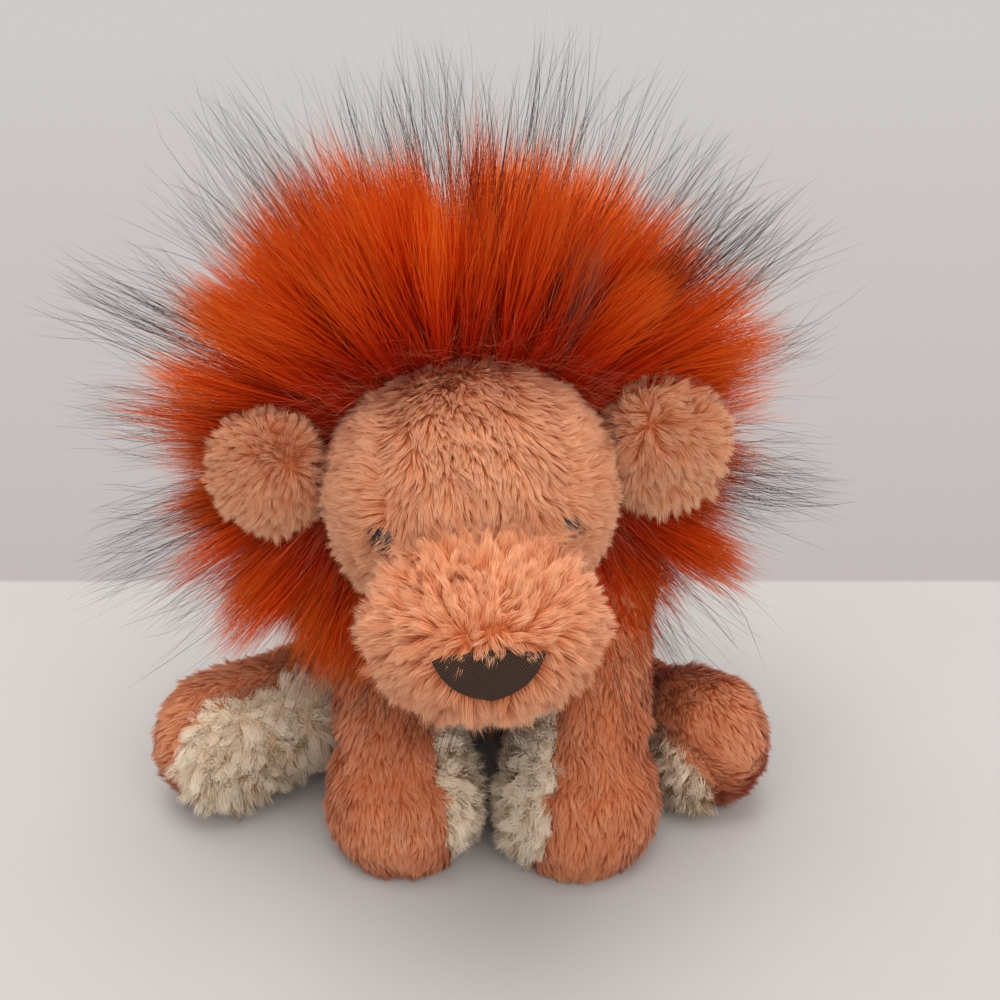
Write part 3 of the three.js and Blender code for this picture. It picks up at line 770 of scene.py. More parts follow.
    def roots(self, per_mm2: float, rng: np.random.Generator, give: float = 0.0) -> list[Roots]:
        """Drops roots evenly over the skin and sorts them by panel, with ragged borders.

        Args:
            per_mm2: Hairs on a square millimetre.
            rng: Random source.
            give: How far the last panel's fur gives way to its neighbour's, in millimetres.

        Returns:
            The roots on each panel.
        """
        a, b, c = (self.points[self.triangles[:, i]] for i in range(3))
        areas = np.linalg.norm(np.cross(b - a, c - a), axis=1) / 2
        count = int(areas.sum() * per_mm2 * density())
        pick = np.searchsorted(np.cumsum(areas), rng.uniform(0, areas.sum(), count))
        pick = np.minimum(pick, len(areas) - 1)
        u, v = rng.uniform(size=(2, count))
        over = u + v > 1
        u, v = np.where(over, 1 - u, u), np.where(over, 1 - v, v)
        shares = np.stack([1 - u - v, u, v], axis=1)
        near = self.triangles[pick]
        place, normal, away = (
            np.einsum("nk,nkd->nd", shares, values[near])
            for values in (self.points, self.normals, self.away)
        )
        reach = np.einsum("nk,pnk->pn", shares, self.reach[:, near])
        swells = ripples(place, self.BORDER_SWELL, range(300, 300 + len(self.panels))).T
        reach = reach + self.BORDER_WANDER * swells
        reach = reach + self.BORDER_FRAY * rng.normal(size=reach.shape)
        reach[-1] += give
        own = reach.argmin(axis=0)
        seam = np.einsum("nk,nk->n", shares, self.seam[near])
        normal = unit(normal)
        whole = Roots(place, normal, seam, unit(across(away, normal)))
        return [whole.only(own == number) for number in range(len(self.panels))]


def density() -> float:
    return 1.0


# Fur


@dataclass(frozen=True)
class Coat:
    """Cut and lie of one kind of fur.

    Attributes:
        per_mm2: Hairs on a square millimetre.
        length: Hair length.
        spread: How much the length varies, as a share.
        width: Width of a hair at its root, or of the few fibres that it stands for.
        steps: Pieces that a hair bends in.
        lean: Angle that it lies off the skin's normal.
        scatter: How far single hairs and tufts stray from that lie.
        tuft: Distance between tufts.
        gather: How far the tips of a tuft draw together, as a share.
        droop: How far the tip sinks, as a share of the length.
        wave: Sideways wave of a hair.
        soft: How much a hair is lit like the surface below it, as a share.
        parting: Width of the parting beside a seam.
        peak: How much shorter the outer hair of a tuft is, as a share.
    """

    per_mm2: float
    length: float
    spread: float
    width: float
    steps: int
    lean: float
    scatter: float
    tuft: float
    gather: float
    droop: float = 0.05
    wave: float = 0.0
    soft: float = 0.5
    parting: float = 3.6
    peak: float = 0.0


# In order: per_mm2, length, spread, width, steps, lean, scatter, tuft and gather
FACE_COAT = Coat(9.0, 5.6, 0.2, 0.18, 2, 56, 10, 1.3, 0.4, soft=0.7)
SIDE_COAT = Coat(9.0, 5.6, 0.2, 0.18, 2, 58, 11, 1.3, 0.4, soft=0.7)
MUZZLE_COAT = Coat(9.0, 6.6, 0.26, 0.18, 3, 46, 17, 1.8, 0.46, droop=0.06, soft=0.6)
LEG_COAT = Coat(7.0, 4.6, 0.22, 0.2, 2, 60, 11, 1.3, 0.4, soft=0.75)
BACK_COAT = Coat(3.5, 6.0, 0.25, 0.32, 2, 55, 14, 2.2, 0.42)
FLEECE_COAT = Coat(7.0, 6.4, 0.26, 0.23, 3, 26, 30, 2.6, 0.6, droop=0.05, wave=1.1, soft=0.8)
EAR_COAT = Coat(10.0, 6.0, 0.24, 0.18, 3, 46, 15, 1.6, 0.42, soft=0.7)
MANE_COAT = Coat(
    18.0, 60.0, 0.15, 0.24, 7, 0, 14, 3.0, 0.3, droop=0.05, wave=2.2, soft=0.3, peak=0.16
)
RUFF_COAT = Coat(
    21.0, 54.0, 0.18, 0.24, 7, 0, 14, 3.0, 0.3, droop=0.12, wave=2.2, soft=0.3, peak=0.16
)
GUARD_COAT = Coat(2.8, 86.0, 0.16, 0.18, 9, 0, 14, 4.6, 0.36, droop=0.05, wave=5.0, soft=0.2)
STRAY_COAT = Coat(2.4, 27.0, 0.4, 0.11, 6, 0, 62, 1.0, 0.0, droop=0.2, wave=1.6, soft=0.0)
WISP_COAT = Coat(26.0, 44.0, 0.3, 0.16, 8, 0, 9, 2.5, 0.3, droop=0.0, wave=3.5, soft=0.0)
TUFT_COAT = Coat(14.0, 16.0, 0.25, 0.25, 5, 30, 14, 2.0, 0.4, droop=0.1, wave=0.6, soft=0.3)


@dataclass
class Pelt:
    """Strands of one coat, ready to become objects.

    Attributes:
        points: Corners in millimetres, strand after strand.
        normals: The corners' shading normals.
        tones: Each corner's tone, from 0 for dark to 1 for pale.
        places: Each corner's place along its hair.
        steps: Pieces in each hair.
    """

    points: Points
    normals: Points
    tones: Points
    places: Points
    steps: int

    def build(self, name: str, dye: FurDye, body: str, slot: Slot) -> list[bpy.types.Object]:
        """Makes the objects, cut into parts that each stay small enough to handle.

        Args:
            name: Name, to which a number is added.
            dye: Its colours.
            body: The body that the fur rides on.
            slot: The record's slot; not used.

        Returns:
            The objects.
        """
        corners = 2 * self.steps + 1
        faces = 2 * self.steps - 1
        count = len(self.points) // corners
        pattern = []
        for low in range(0, 2 * self.steps - 2, 2):
            pattern += [(low, low + 1, low + 3), (low, low + 3, low + 2)]
        pattern = np.array([*pattern, (corners - 3, corners - 2, corners - 1)])
        most = FACES_PER_PIECE // faces
        made = []
        for number, start in enumerate(range(0, count, most)):
            size = min(most, count - start)
            triangles = (np.arange(size)[:, None, None] * corners + pattern).reshape(-1, 3)
            part = slice(start * corners, (start + size) * corners)
            piece = mesh_object(f"{name}_{number + 1}", self.points[part] * MM, triangles)
            chart = np.stack([self.tones[part], self.places[part]], axis=1)[triangles.ravel()]
            for layer in ("FurMap", "OFBake"):
                data = piece.data.uv_layers.new(name=layer).data
                data.foreach_set("uv", np.ascontiguousarray(chart, np.float32).ravel())
            piece.data.normals_split_custom_set_from_vertices(self.normals[part])
            made.append(finish_piece(piece, dye, body))
        return made


# Ways of all faux fur: shares and multiples, unless a line says otherwise
STRAY_PER_AXIS = 0.8  # Part of the scatter that falls on each axis
TUFT_SAY = 0.55  # How far a tuft decides the way of its hairs
TUFT_SPREAD, HAIR_SPREAD = 0.7, 0.6  # Part of a coat's spread between tufts, and between hairs
TUFT_TONES, HAIR_TONES = 0.1, 0.13  # Spread of the tone between tufts, and between hairs
HAIR_LIMITS = (0.4, 1.5)  # Shortest and longest hair
TUFT_EDGE = 1.4  # Furthest place from a tuft's middle that its peak still shortens
GATHER_POWER = 1.4  # How late along the hair a tuft draws together
TURNS = (0.4, 1.5)  # Waves along one hair
TWIST = 0.5  # Spread of a ribbon's turn about itself, in radians
THIN_TO, THIN_POWER, THINNEST = 0.7, 1.5, 0.1  # How a ribbon narrows to its tip
WIDTHS = (0.7, 1.3)  # Narrowest and widest hair
ROUNDING = 0.5  # How far the shading turns round a ribbon's edges
CHART = (0.01, 0.99)  # Margins of the fur map
TRIMMED = (0.84, 1.0)  # Where a trimmed hair ends, as a share of the room
WALL_REACH = 0.04  # How deep in a wall a hair may start, in metres
WALLS_BELOW = 120.0  # Height under which hair can meet the legs and the torso, in millimetres
WALL_ROOM = 1.5  # How far it then stays off them, in millimetres
FLOOR_ROOM = (0.3, 0.5)  # Lowest place of a hair over the floor and its spread, in millimetres


def lie_on(path: Points, walls: Sequence[BVHTree]) -> Points:
    """Lays hair on the stuffed parts that it would run into.

    Args:
        path: Stops of each hair, in millimetres.
        walls: Surfaces to stay outside of.

    Returns:
        The stops, moved out where they were inside.
    """
    hair, stop = np.nonzero(path[:, 1:, 2] < WALLS_BELOW)
    for i, j in zip(hair, stop + 1):
        place = Vector(path[i, j] * MM)
        for wall in walls:
            near, normal, _, _ = wall.find_nearest(place, WALL_REACH)
            if near is not None and (place - near).dot(normal) < WALL_ROOM * MM:
                place = near + normal * WALL_ROOM * MM
        path[i, j] = np.array(place) / MM
    return path


def trimmed(path: Points, proud: float, rng: np.random.Generator) -> Points:
    """Shortens hair that would stand too far out of the CAD model's box.

    Args:
        path: Stops of each hair, in millimetres.
        proud: How far hair may stand out of the box.
        rng: Random source, so that the trimmed tips stay uneven.

    Returns:
        The stops.
    """
    low, high = (np.array(corner) / MM for corner in CAD_BOUNDS)
    root = path[:, :1]
    way = path - root
    room = np.where(way > 0, high + proud - root, root - low + proud)
    share = (room / np.maximum(np.abs(way), 1e-3)).min(axis=(1, 2))
    share = np.where(share < 1, share * rng.uniform(*TRIMMED, len(path)), 1.0)
    return root + way * share[:, None, None]


def grow(
    coat: Coat,
    roots: Roots,
    lie: Points,
    lengths: Points,
    tone: Points,
    rng: np.random.Generator,
    walls: Sequence[BVHTree] = (),
    proud: float = 0.0,
) -> Pelt:
    """Grows one hair from each root.

    Args:
        coat: Cut of the fur.
        roots: Where the hairs stand.
        lie: Direction in which each hair leaves the skin.
        lengths: Length of each hair.
        tone: Tone of each hair, from 0 to 1.
        rng: Random source.
        walls: Surfaces that the hair lies on.
        proud: How far it may stand out of the CAD model's box, where there are walls.

    Returns:
        The strands.
    """
    count = len(roots.points)
    tufts = min(count, max(1, int(count / (coat.per_mm2 * coat.tuft**2 * density()))))
    heads = rng.choice(count, tufts, replace=False)
    tree = KDTree(tufts)
    for number, head in enumerate(heads):
        tree.insert(roots.points[head], number)
    tree.balance()
    found = [tree.find(point)[1:] for point in roots.points]
    nearest = np.fromiter((number for number, _ in found), int, count)
    apart = np.fromiter((distance for _, distance in found), float, count) / coat.tuft
    stray = math.radians(coat.scatter) * STRAY_PER_AXIS
    tuft_lie = unit(lie[heads] + rng.normal(size=(tufts, 3)) * stray)
    tuft_length = lengths[heads] * (1 + coat.spread * rng.normal(size=tufts) * TUFT_SPREAD)
    tuft_tone = rng.normal(size=tufts) * TUFT_TONES
    own_lie = unit(lie + rng.normal(size=(count, 3)) * stray)
    way = unit(TUFT_SAY * tuft_lie[nearest] + (1 - TUFT_SAY) * own_lie)
    length = (lengths + tuft_length[nearest]) / 2
    uneven = 1 + coat.spread * rng.normal(size=count) * HAIR_SPREAD
    length = length * np.clip(uneven, *HAIR_LIMITS)
    length = length * (1 - coat.peak * np.clip(apart, 0, TUFT_EDGE) ** 2)
    steps = np.linspace(0, 1, coat.steps + 1)
    s = steps[None, :, None]
    path = roots.points[:, None] + (way * length[:, None])[:, None] * s
    middle = (tuft_lie[nearest] * tuft_length[nearest][:, None])[:, None] * s
    middle = roots.points[heads][nearest][:, None] + middle
    path = path + (middle - path) * coat.gather * s**GATHER_POWER
    if coat.wave > 0:
        flat = unit(np.cross(way, rng.normal(size=(count, 3))))
        phase = rng.uniform(0, 2 * math.pi, (count, 1, 1))
        turns = rng.uniform(*TURNS, (count, 1, 1))
        sway = np.sin(2 * math.pi * turns * s + phase) - np.sin(phase)
        path = path + flat[:, None] * sway * coat.wave * s
    path[:, :, 2] -= coat.droop * length[:, None] * steps[None] ** 2
    if walls:
        path = lie_on(trimmed(path, proud, rng), walls)
    lowest, spread = FLOOR_ROOM
    path[:, :, 2] = np.maximum(path[:, :, 2], lowest + spread * rng.uniform(size=(count, 1)))
    return ribbons(coat, roots, path, tone + tuft_tone[nearest], rng)


def ribbons(
    coat: Coat, roots: Roots, path: Points, tone: Points, rng: np.random.Generator
) -> Pelt:
    """Gives hairs their width, as narrow ribbons that end in a point.

    Args:
        coat: Cut of the fur.
        roots: Where the hairs stand.
        path: Stops of each hair, in millimetres.
        tone: Tone of each hair, from 0 to 1.
        rng: Random source.

    Returns:
        The strands.
    """
    count, stops = path.shape[:2]
    steps = np.linspace(0, 1, stops)
    along = unit(np.gradient(path, axis=1))
    out = roots.normals[:, None] * np.ones_like(along)
    side = unit(np.cross(along, out))
    side = spun(side, along, rng.normal(size=(count, 1)) * TWIST * np.ones((1, stops)))
    face = np.cross(side, along)
    taper = np.clip(1.0 - THIN_TO * steps**THIN_POWER, THINNEST, 1)[None, :, None]
    half = coat.width / 2 * taper * rng.uniform(*WIDTHS, (count, 1, 1))
    half = half / math.sqrt(density())
    shade = unit(face * (1 - coat.soft) + out * coat.soft)
    corners = 2 * stops - 1
    points = np.empty((count, corners, 3))
    normals = np.empty((count, corners, 3))
    places = np.empty(corners)
    for first, way in ((0, -1), (1, 1)):
        points[:, first:-1:2] = (path + way * side * half)[:, :-1]
        normals[:, first:-1:2] = unit(shade + way * ROUNDING * side)[:, :-1]
        places[first:-1:2] = steps[:-1]
    points[:, -1], normals[:, -1], places[-1] = path[:, -1], shade[:, -1], 1
    tones = np.clip(tone + rng.normal(size=count) * HAIR_TONES, *CHART)
    return Pelt(
        points.reshape(-1, 3),
        normals.reshape(-1, 3),
        np.repeat(tones, corners),
        np.tile(np.clip(places, *CHART), count),
        stops - 1,
    )


@dataclass(frozen=True)
class Comb:
    """How short fur is laid, in millimetres and degrees.

    Attributes:
        parting: How far fur beside a seam turns away from it, on average, as a share.
        uneven: How much that varies along the seam.
        upright: How much steeper the fur stands beside a seam, as a share.
        shorter: How much shorter it is there, as a share.
        swirls: Angle, size and seed of the swirls in the flow, the wide ones first.
        lift: Angle, size and seed of the drift in how steeply the fur lies.
        drift: Share, size and seed of the drift in its length.
    """

    parting: float = 0.25
    uneven: tuple[float, float, int] = (0.3, 8, 8)
    upright: float = 0.15
    shorter: float = 0.1
    swirls: tuple[tuple[float, float, int], ...] = ((14, 22, 5), (15, 7, 6))
    lift: tuple[float, float, int] = (10, 9, 9)
    drift: tuple[float, float, int] = (0.1, 9, 3)

    @staticmethod
    def drawn(points: Points, amount: float, size: float, seed: int) -> Points:
        """Gives a smooth random value up to about an amount."""
        return amount * Ripple(size, seed)(points)

    def lay(self, coat: Coat, roots: Roots, flow: Points) -> tuple[Points, Points]:
        """Lays short fur along a flow, parted and shorter beside the seams.

        Args:
            coat: Cut of the fur.
            roots: Where the hairs stand.
            flow: The way the fur is combed at each root.

        Returns:
            Direction and length of each hair.
        """
        places = roots.points
        beside = np.clip(1 - roots.seam / coat.parting, 0, 1)
        parted = (self.parting + self.drawn(places, *self.uneven)) * beside
        way = unit(across(unit(flow) + parted[:, None] * roots.away, roots.normals))
        swirl = sum(self.drawn(places, *one) for one in self.swirls)
        way = spun(way, roots.normals, np.radians(swirl))
        lean = (coat.lean + self.drawn(places, *self.lift)) * (1 - self.upright * beside)
        lean = np.radians(lean)[:, None]
        lie = roots.normals * np.cos(lean) + way * np.sin(lean)
        length = coat.length * (1 - self.shorter * beside)
        return unit(lie), length * (1 + self.drawn(places, *self.drift))


COMB = Comb()


def patchy(
    points: Points, base: Points | float, size: float, seed: int, depth: float = 0.16
) -> Points:
    """Gives a tone that drifts over a coat, with painted shade in a few patches where the fur would
    part.

    Args:
        points: Where the hairs stand, in millimetres.
        base: Mean tone.
        size: Size of a patch, in millimetres.
        seed: Seed of the drift.
        depth: How far the tone drifts.

    Returns:
        The tone of each hair.
    """
    gap, rare, most = 5.5, 0.75, 0.7
    # Painted shade: the hair turns darker in these patches.
    gap_shade = np.clip(Ripple(gap, seed + 2)(points) - rare, 0, most)
    drift = depth * (Ripple(size, seed)(points) + 0.5 * Ripple(size / 3, seed + 1)(points))
    return base + drift - 0.5 * gap_shade


@dataclass(frozen=True)
class Fur:
    """One kind of short fur: its cut, its colours and the record's slot for it."""

    coat: Coat
    dye: FurDye
    slot: Slot

    def cover(
        self,
        name: str,
        body: str,
        roots: Roots,
        flow: Points,
        tone: Points,
        rng: np.random.Generator,
        trim: Points | float = 1.0,
    ) -> None:
        """Grows the fur of one panel, combed along a flow.

        Args:
            name: Name of its objects.
            body: The body that it rides on.
            roots: Where the hairs stand.
            flow: The way the fur is combed at each root.
            tone: Tone of each hair.
            rng: Random source.
            trim: How long the hair is, as a share of the coat's.
        """
        lie, length = COMB.lay(self.coat, roots, flow)
        pelt = grow(self.coat, roots, lie, length * trim, tone, rng)
        pelt.build(name, self.dye, body, self.slot)


LEG_FUR = Fur(LEG_COAT, PLUSH_DYE, Slot.PLUSH)
BACK_FUR = Fur(BACK_COAT, PLUSH_DYE, Slot.PLUSH)
EAR_FUR = Fur(EAR_COAT, PLUSH_DYE, Slot.PLUSH)
FLEECE_FUR = Fur(FLEECE_COAT, FLEECE_DYE, Slot.FLEECE)


# Sub-assemblies


@dataclass
class Limb:
    """A stuffed leg: an orange plush outside and a cream fleece inside.

    Attributes:
        body: Name of the leg's body.
        seed: Seed of its fur.
        tone: How pale its plush is.
        fill: How tightly it is stuffed; not used.
        inset: How far its cloth lies below the CAD surface.
        crease: Height of the crease at the ankle, where the cloth is drawn in, the fur is shorter
            and painted shade darkens it, or none.
        give: How far the fleece gives way to the plush at its border.
        pull: How far the crease draws the cloth in.
        crease_width: Width of the crease.
        crease_swell: How far it wanders up and down.
        paw_height: Height below the crease over which the fur turns over the paw.
        toe_depth: How much of the leg's end counts as its toe.
    """

    body: str
    seed: int
    tone: float
    fill: float = 0.75
    inset: float = 1.5
    crease: float | None = None
    give: float = 0.0
    pull: float = 1.6
    crease_width: float = 3.6
    crease_swell: float = 2.5
    paw_height: float = 12.0
    toe_depth: float = 6.0

    def build(self) -> Skin:
        """Makes both skins and both furs.

        Returns:
            The leg's skin, which the mane's hair lies on.
        """
        body, rng = self.body, np.random.default_rng(self.seed)
        outer, inner = f"{body}_outer_panel", f"{body}_inner_panel"
        insets = (self.inset, self.inset)
        skin = Skin([outer, inner], voxel=2.4, smoothing=8, seam_depth=1.3, insets=insets)
        skin.push(-self.pull * self.folded(skin.points))
        outside, inside = skin.pieces([f"{body}_outer_skin", f"{body}_inner_skin"])
        carried = [outer, f"{body}_stuffing"]
        finish_piece(outside, PLUSH_CLOTH, body, carried)
        finish_piece(inside, FLEECE_CLOTH, body, [inner])
        flow = unit(self.toe(skin) - pivot_of(body))
        plush, fleece = skin.roots(LEG_COAT.per_mm2, rng, self.give)
        folded = self.folded(plush.points)
        # Painted shade: the plush is darker in the ankle's crease.
        tone = patchy(plush.points, self.tone, size=26, seed=self.seed, depth=0.12) - 0.22 * folded
        down = self.outwards(plush, flow)
        LEG_FUR.cover(f"{body}_outer_fur", body, plush, down, tone, rng, 1 - 0.25 * folded)
        centre = fleece.points.mean(axis=0)
        spread = unit(across(fleece.points - centre, fleece.normals)) + 0.5 * flow
        tone = patchy(fleece.points, 0.7, size=18, seed=self.seed + 40, depth=0.12)
        FLEECE_FUR.cover(f"{body}_inner_fur", body, fleece, spread, tone, rng)
        return skin

    def folded(self, points: Points) -> Points:
        """Tells how near places are to the ankle's crease.

        Args:
            points: Places in millimetres.

        Returns:
            One in the crease, down to zero away from it.
        """
        if self.crease is None:
            return np.zeros(len(points))
        wander = self.crease_swell * Ripple(16, self.seed)(points)
        return np.exp(-(((points[:, 2] - self.crease + wander) / self.crease_width) ** 2))

    def outwards(self, roots: Roots, flow: Points) -> Points:
        """Combs the plush down the leg, and over a lying foot from the middle of its sole.

        Args:
            roots: Where the hairs stand.
            flow: The way from the joint to the toe.

        Returns:
            The way the fur is combed at each root.
        """
        if self.crease is None:
            return flow + 0.9 * roots.normals * np.array([1.0, 1.0, 0.4])
        paw = np.clip((self.crease - roots.points[:, 2]) / self.paw_height, 0, 1)[:, None]
        return flow + 0.8 * paw * np.array([0.0, -0.8, -0.2]) + 0.25 * roots.normals * paw

    def toe(self, skin: Skin) -> Points:
        """Finds the end of the leg, furthest from its joint.

        Args:
            skin: The leg's skin.

        Returns:
            The middle of that end, in millimetres.
        """
        apart = skin.points - pivot_of(self.body)
        if self.crease is None:
            apart = apart * np.array([1.0, 1.0, 0.0])
        reach = np.linalg.norm(apart, axis=1)
        return skin.points[reach > reach.max() - self.toe_depth].mean(axis=0)


@dataclass
class Torso:
    """Stuffed body: orange plush back and cream fleece belly.

    Attributes:
        body: Name of its body.
        seed: Seed of its fur.
        fill: How tightly it is stuffed; not used.
        back_lie: The way the back is combed.
        belly_lie: The way the belly is combed.
    """

    body: str = "torso"
    seed: int = 11
    fill: float = 0.7
    back_lie: tuple[float, float, float] = (0.0, 0.35, -1.0)
    belly_lie: tuple[float, float, float] = (0.0, -0.3, -1.0)

    def build(self) -> Skin:
        """Makes the skins and furs.

        Returns:
            The torso's skin, which the mane's hair lies on.
        """
        body, rng = self.body, np.random.default_rng(self.seed)
        panels = ["torso_back_panel", "torso_belly_panel"]
        skin = Skin(panels, voxel=2.8, smoothing=10, seam_depth=1.4, insets=(2.0, 3.0))
        back, belly = skin.pieces(["torso_back_skin", "torso_belly_skin"])
        carried = ["torso_back_panel", "torso_stuffing", "rump_pellet_pouch"]
        finish_piece(back, PLUSH_CLOTH, body, carried)
        finish_piece(belly, FLEECE_CLOTH, body, ["torso_belly_panel"])
        plush, fleece = skin.roots(BACK_COAT.per_mm2, rng)
        flow = np.array([self.back_lie]) + 0 * plush.points
        tone = patchy(plush.points, 0.42, size=30, seed=self.seed)
        BACK_FUR.cover("torso_back_fur", body, plush, flow, tone, rng)
        flow = np.array([self.belly_lie]) + 0 * fleece.points
        tone = patchy(fleece.points, 0.45, size=20, seed=self.seed + 3)
        FLEECE_FUR.cover("torso_belly_fur", body, fleece, flow, tone, rng)
        return skin


@dataclass
class HeadPlace:
    """The head's own frame: X to the lion's left, Y to the back of the head, Z to the crown.

    Attributes:
        centre: Middle of the skull.
        yaw: Turn about the upright axis.
        roll: Tilt about the axis from nose to nape.
        turn: The rotation that these give.
    """

    centre: tuple[float, float, float] = (-5.5, -71.0, 128.0)
    yaw: float = 4.3
    roll: float = -2.2
    turn: Points = field(init=False)

    def __post_init__(self) -> None:
        """Works out the rotation."""
        about_z = Quaternion((0, 0, 1), math.radians(self.yaw))
        about_y = Quaternion((0, 1, 0), math.radians(self.roll))
        self.turn = np.array((about_z @ about_y).to_matrix())

    def inside(self, points: Points) -> Points:
        """Takes points from the row frame to the head's frame."""
        return (points - np.array(self.centre)) @ self.turn

    def outward(self, vectors: Points) -> Points:
        """Takes directions from the head's frame to the row frame."""
        return vectors @ self.turn.T


@dataclass
class Head:
    """Stuffed head: forehead, face sides, throat and muzzle, with nose and eyes.

    Attributes:
        place: The head's frame.
        seed: Seed of its fur.
        nodes: CAD panels of its outside, the mane's backing last.
        fill: How tightly it is stuffed; not used.
        eye_radius: Bare disc round each eye.
        lids: Share of the fur above the right and the left eye that falls over it.
        lid_reach: How far from an eye's middle such fur grows.
        lid_height: How far below an eye's middle it may grow.
        insets: How far the cloth of each panel lies below the CAD surface.
        nose_middle: Middle of the nose's seat, across and up.
        nose_half: Half width and half height of that seat.
        nose_front: Only cloth in front of this rises under the nose.
        nose_rise: How far the cloth under the nose stands above the muzzle's.
        brow: Middle of the painted shade in the fold between forehead and muzzle.
        brow_half: Half sizes of that painted shade.
        pale_from: Height from which painted light makes the fur paler towards the hairline, against
            the mane's shadow.
        pale_over: Height over which it does.
        ridge: The fan of the muzzle's fur starts on this level line: how far back and how high.
        ridge_half: Half length of that line.
        hairline: Front of the mane, behind the skull's middle.
        hairline_slope: How the hairline leans forward towards the crown.
        skin: The finished skin, which the mane grows on.
    """

    place: HeadPlace
    seed: int = 21
    nodes: tuple[str, ...] = (
        "forehead_panel",
        "face_side_panel_right",
        "face_side_panel_left",
        "throat_panel",
        "muzzle_panel",
        "mane_backing",
    )
    fill: float = 0.85
    eye_radius: float = 2.4
    lids: tuple[float, float] = (0.8, 1.0)
    lid_reach: float = 8.0
    lid_height: float = 2.5
    insets: tuple[float, ...] = (1.5, 1.5, 1.5, 2.0, 5.0, 1.5)
    nose_middle: tuple[float, float] = (0.0, -16.5)
    nose_half: tuple[float, float] = (20.0, 13.0)
    nose_front: float = -50.0
    nose_rise: float = 4.2
    brow: tuple[float, float, float] = (0.0, -38.0, 0.0)
    brow_half: tuple[float, float, float] = (26.0, 9.0, 5.5)
    pale_from: float = 14.0
    pale_over: float = 18.0
    ridge: tuple[float, float] = (-74.0, -4.0)
    ridge_half: float = 13.0
    hairline: float = 13.0
    hairline_slope: float = 0.3
    skin: Skin = field(init=False)

    def build(self) -> None:
        """Makes the skins, the short fur, the nose and the eyes."""
        self.skin = Skin(
            self.nodes, voxel=2.0, smoothing=9, seam_depth=0.3, insets=self.insets
        )
        self.seat_nose()
        names = [node.replace("_panel", "") + "_skin" for node in self.nodes]
        for node, piece in zip(self.nodes, self.skin.pieces(names)):
            backing = node == "mane_backing"
            cloth, slot = (MANE_CLOTH, Slot.BACKING) if backing else (PLUSH_CLOTH, Slot.PLUSH)
            carried = [node, "head_stuffing"] if node == "forehead_panel" else [node]
            finish_piece(piece, cloth, "head", carried)
        eyes = [self.eye("eye_right"), self.eye("eye_left")]
        nose = self.nose()
        rng = np.random.default_rng(self.seed)
        panels = self.skin.roots(MUZZLE_COAT.per_mm2, rng)
        kinds = {
            "forehead": (FACE_COAT, self.forehead_flow, 0.66),
            "face_side_right": (SIDE_COAT, self.side_flow, 0.68),
            "face_side_left": (SIDE_COAT, self.side_flow, 0.6),
            # Painted shade: the throat's low tone stands for the shade under the chin.
            "throat": (FACE_COAT, self.throat_flow, 0.4),
            "muzzle": (MUZZLE_COAT, self.muzzle_flow, 0.52),
        }
        for (name, (coat, flow, base)), roots in zip(kinds.items(), panels):
            roots = roots.only(self.bare(roots.points, eyes, nose))
            places = self.place.inside(roots.points)
            lie, length = COMB.lay(coat, roots, self.place.outward(flow(places)))
            lie, longer = self.lashed(roots, lie, eyes, rng)
            tone = patchy(roots.points, base, size=20, seed=self.seed, depth=0.07)
            # Painted light: the fur turns paler up towards the hairline, against the mane's shadow.
            high = np.clip((places[:, 2] - self.pale_from) / self.pale_over, 0, 1)
            # Painted shade darkens the fur in the brow's fold.
            tone = tone - 0.4 * self.brow_shade(places) + 0.34 * high
            pelt = grow(coat, roots, lie, length * longer, tone, rng)
            pelt.build(f"{name}_fur", PLUSH_DYE, "head", Slot.PLUSH)

    def seat_nose(self) -> None:
        """Lets the muzzle's cloth rise to the back of the nose that is sewn on it."""
        p = self.place.inside(self.skin.points)
        apart = (p[:, [0, 2]] - np.array(self.nose_middle)) / np.array(self.nose_half)
        near = np.exp(-(np.linalg.norm(apart, axis=1) ** 4)) * (p[:, 1] < self.nose_front)
        self.skin.push(self.nose_rise * near)

    def forehead_flow(self, p: Points) -> Points:
        """Combs the forehead down, and beside the temples outwards over the seams.

        Args:
            p: Places in the head's frame, as in the other flows.

        Returns:
            The way the fur is combed there, in the same frame.
        """
        across_seam = np.clip((np.abs(p[:, 0]) - 8) / 14, 0, 1) ** 2
        out = 0.012 * (14.0 - p[:, 0]) + np.sign(p[:, 0]) * across_seam
        return np.stack([out, -0.4 + 0 * out, -1.0 + 0.4 * np.abs(out)], axis=1)

    def side_flow(self, p: Points) -> Points:
        """Combs the face sides outwards and back, lower down also down."""
        down = np.clip(-p[:, 2] / 30, -0.3, 1.0)
        return np.stack([np.sign(p[:, 0]), 0.45 * np.ones(len(p)), -0.25 - down], axis=1)

    def throat_flow(self, p: Points) -> Points:
        """Combs the throat back and down."""
        return np.stack([p[:, 0] * 0.02, 0.6 * np.ones(len(p)), -np.ones(len(p))], axis=1)

    def muzzle_flow(self, p: Points) -> Points:
        """Fans the muzzle's fur out from a line inside it, above the nose, tangled on top.

        Args:
            p: Places in the head's frame.

        Returns:
            The way the fur is combed there, in the same frame.
        """
        ridge = np.ones_like(p) * (0.0, *self.ridge)
        ridge[:, 0] = 0.85 * np.clip(p[:, 0], -self.ridge_half, self.ridge_half)
        top = np.clip((p[:, 2] + 9) / 9, 0, 1) * np.clip(0.8 - p[:, 0] / 40, 0.3, 1)
        return unit(p - ridge) + (0.12 + 0.75 * top[:, None]) * ripples(p, 6.5, (71, 72, 73))

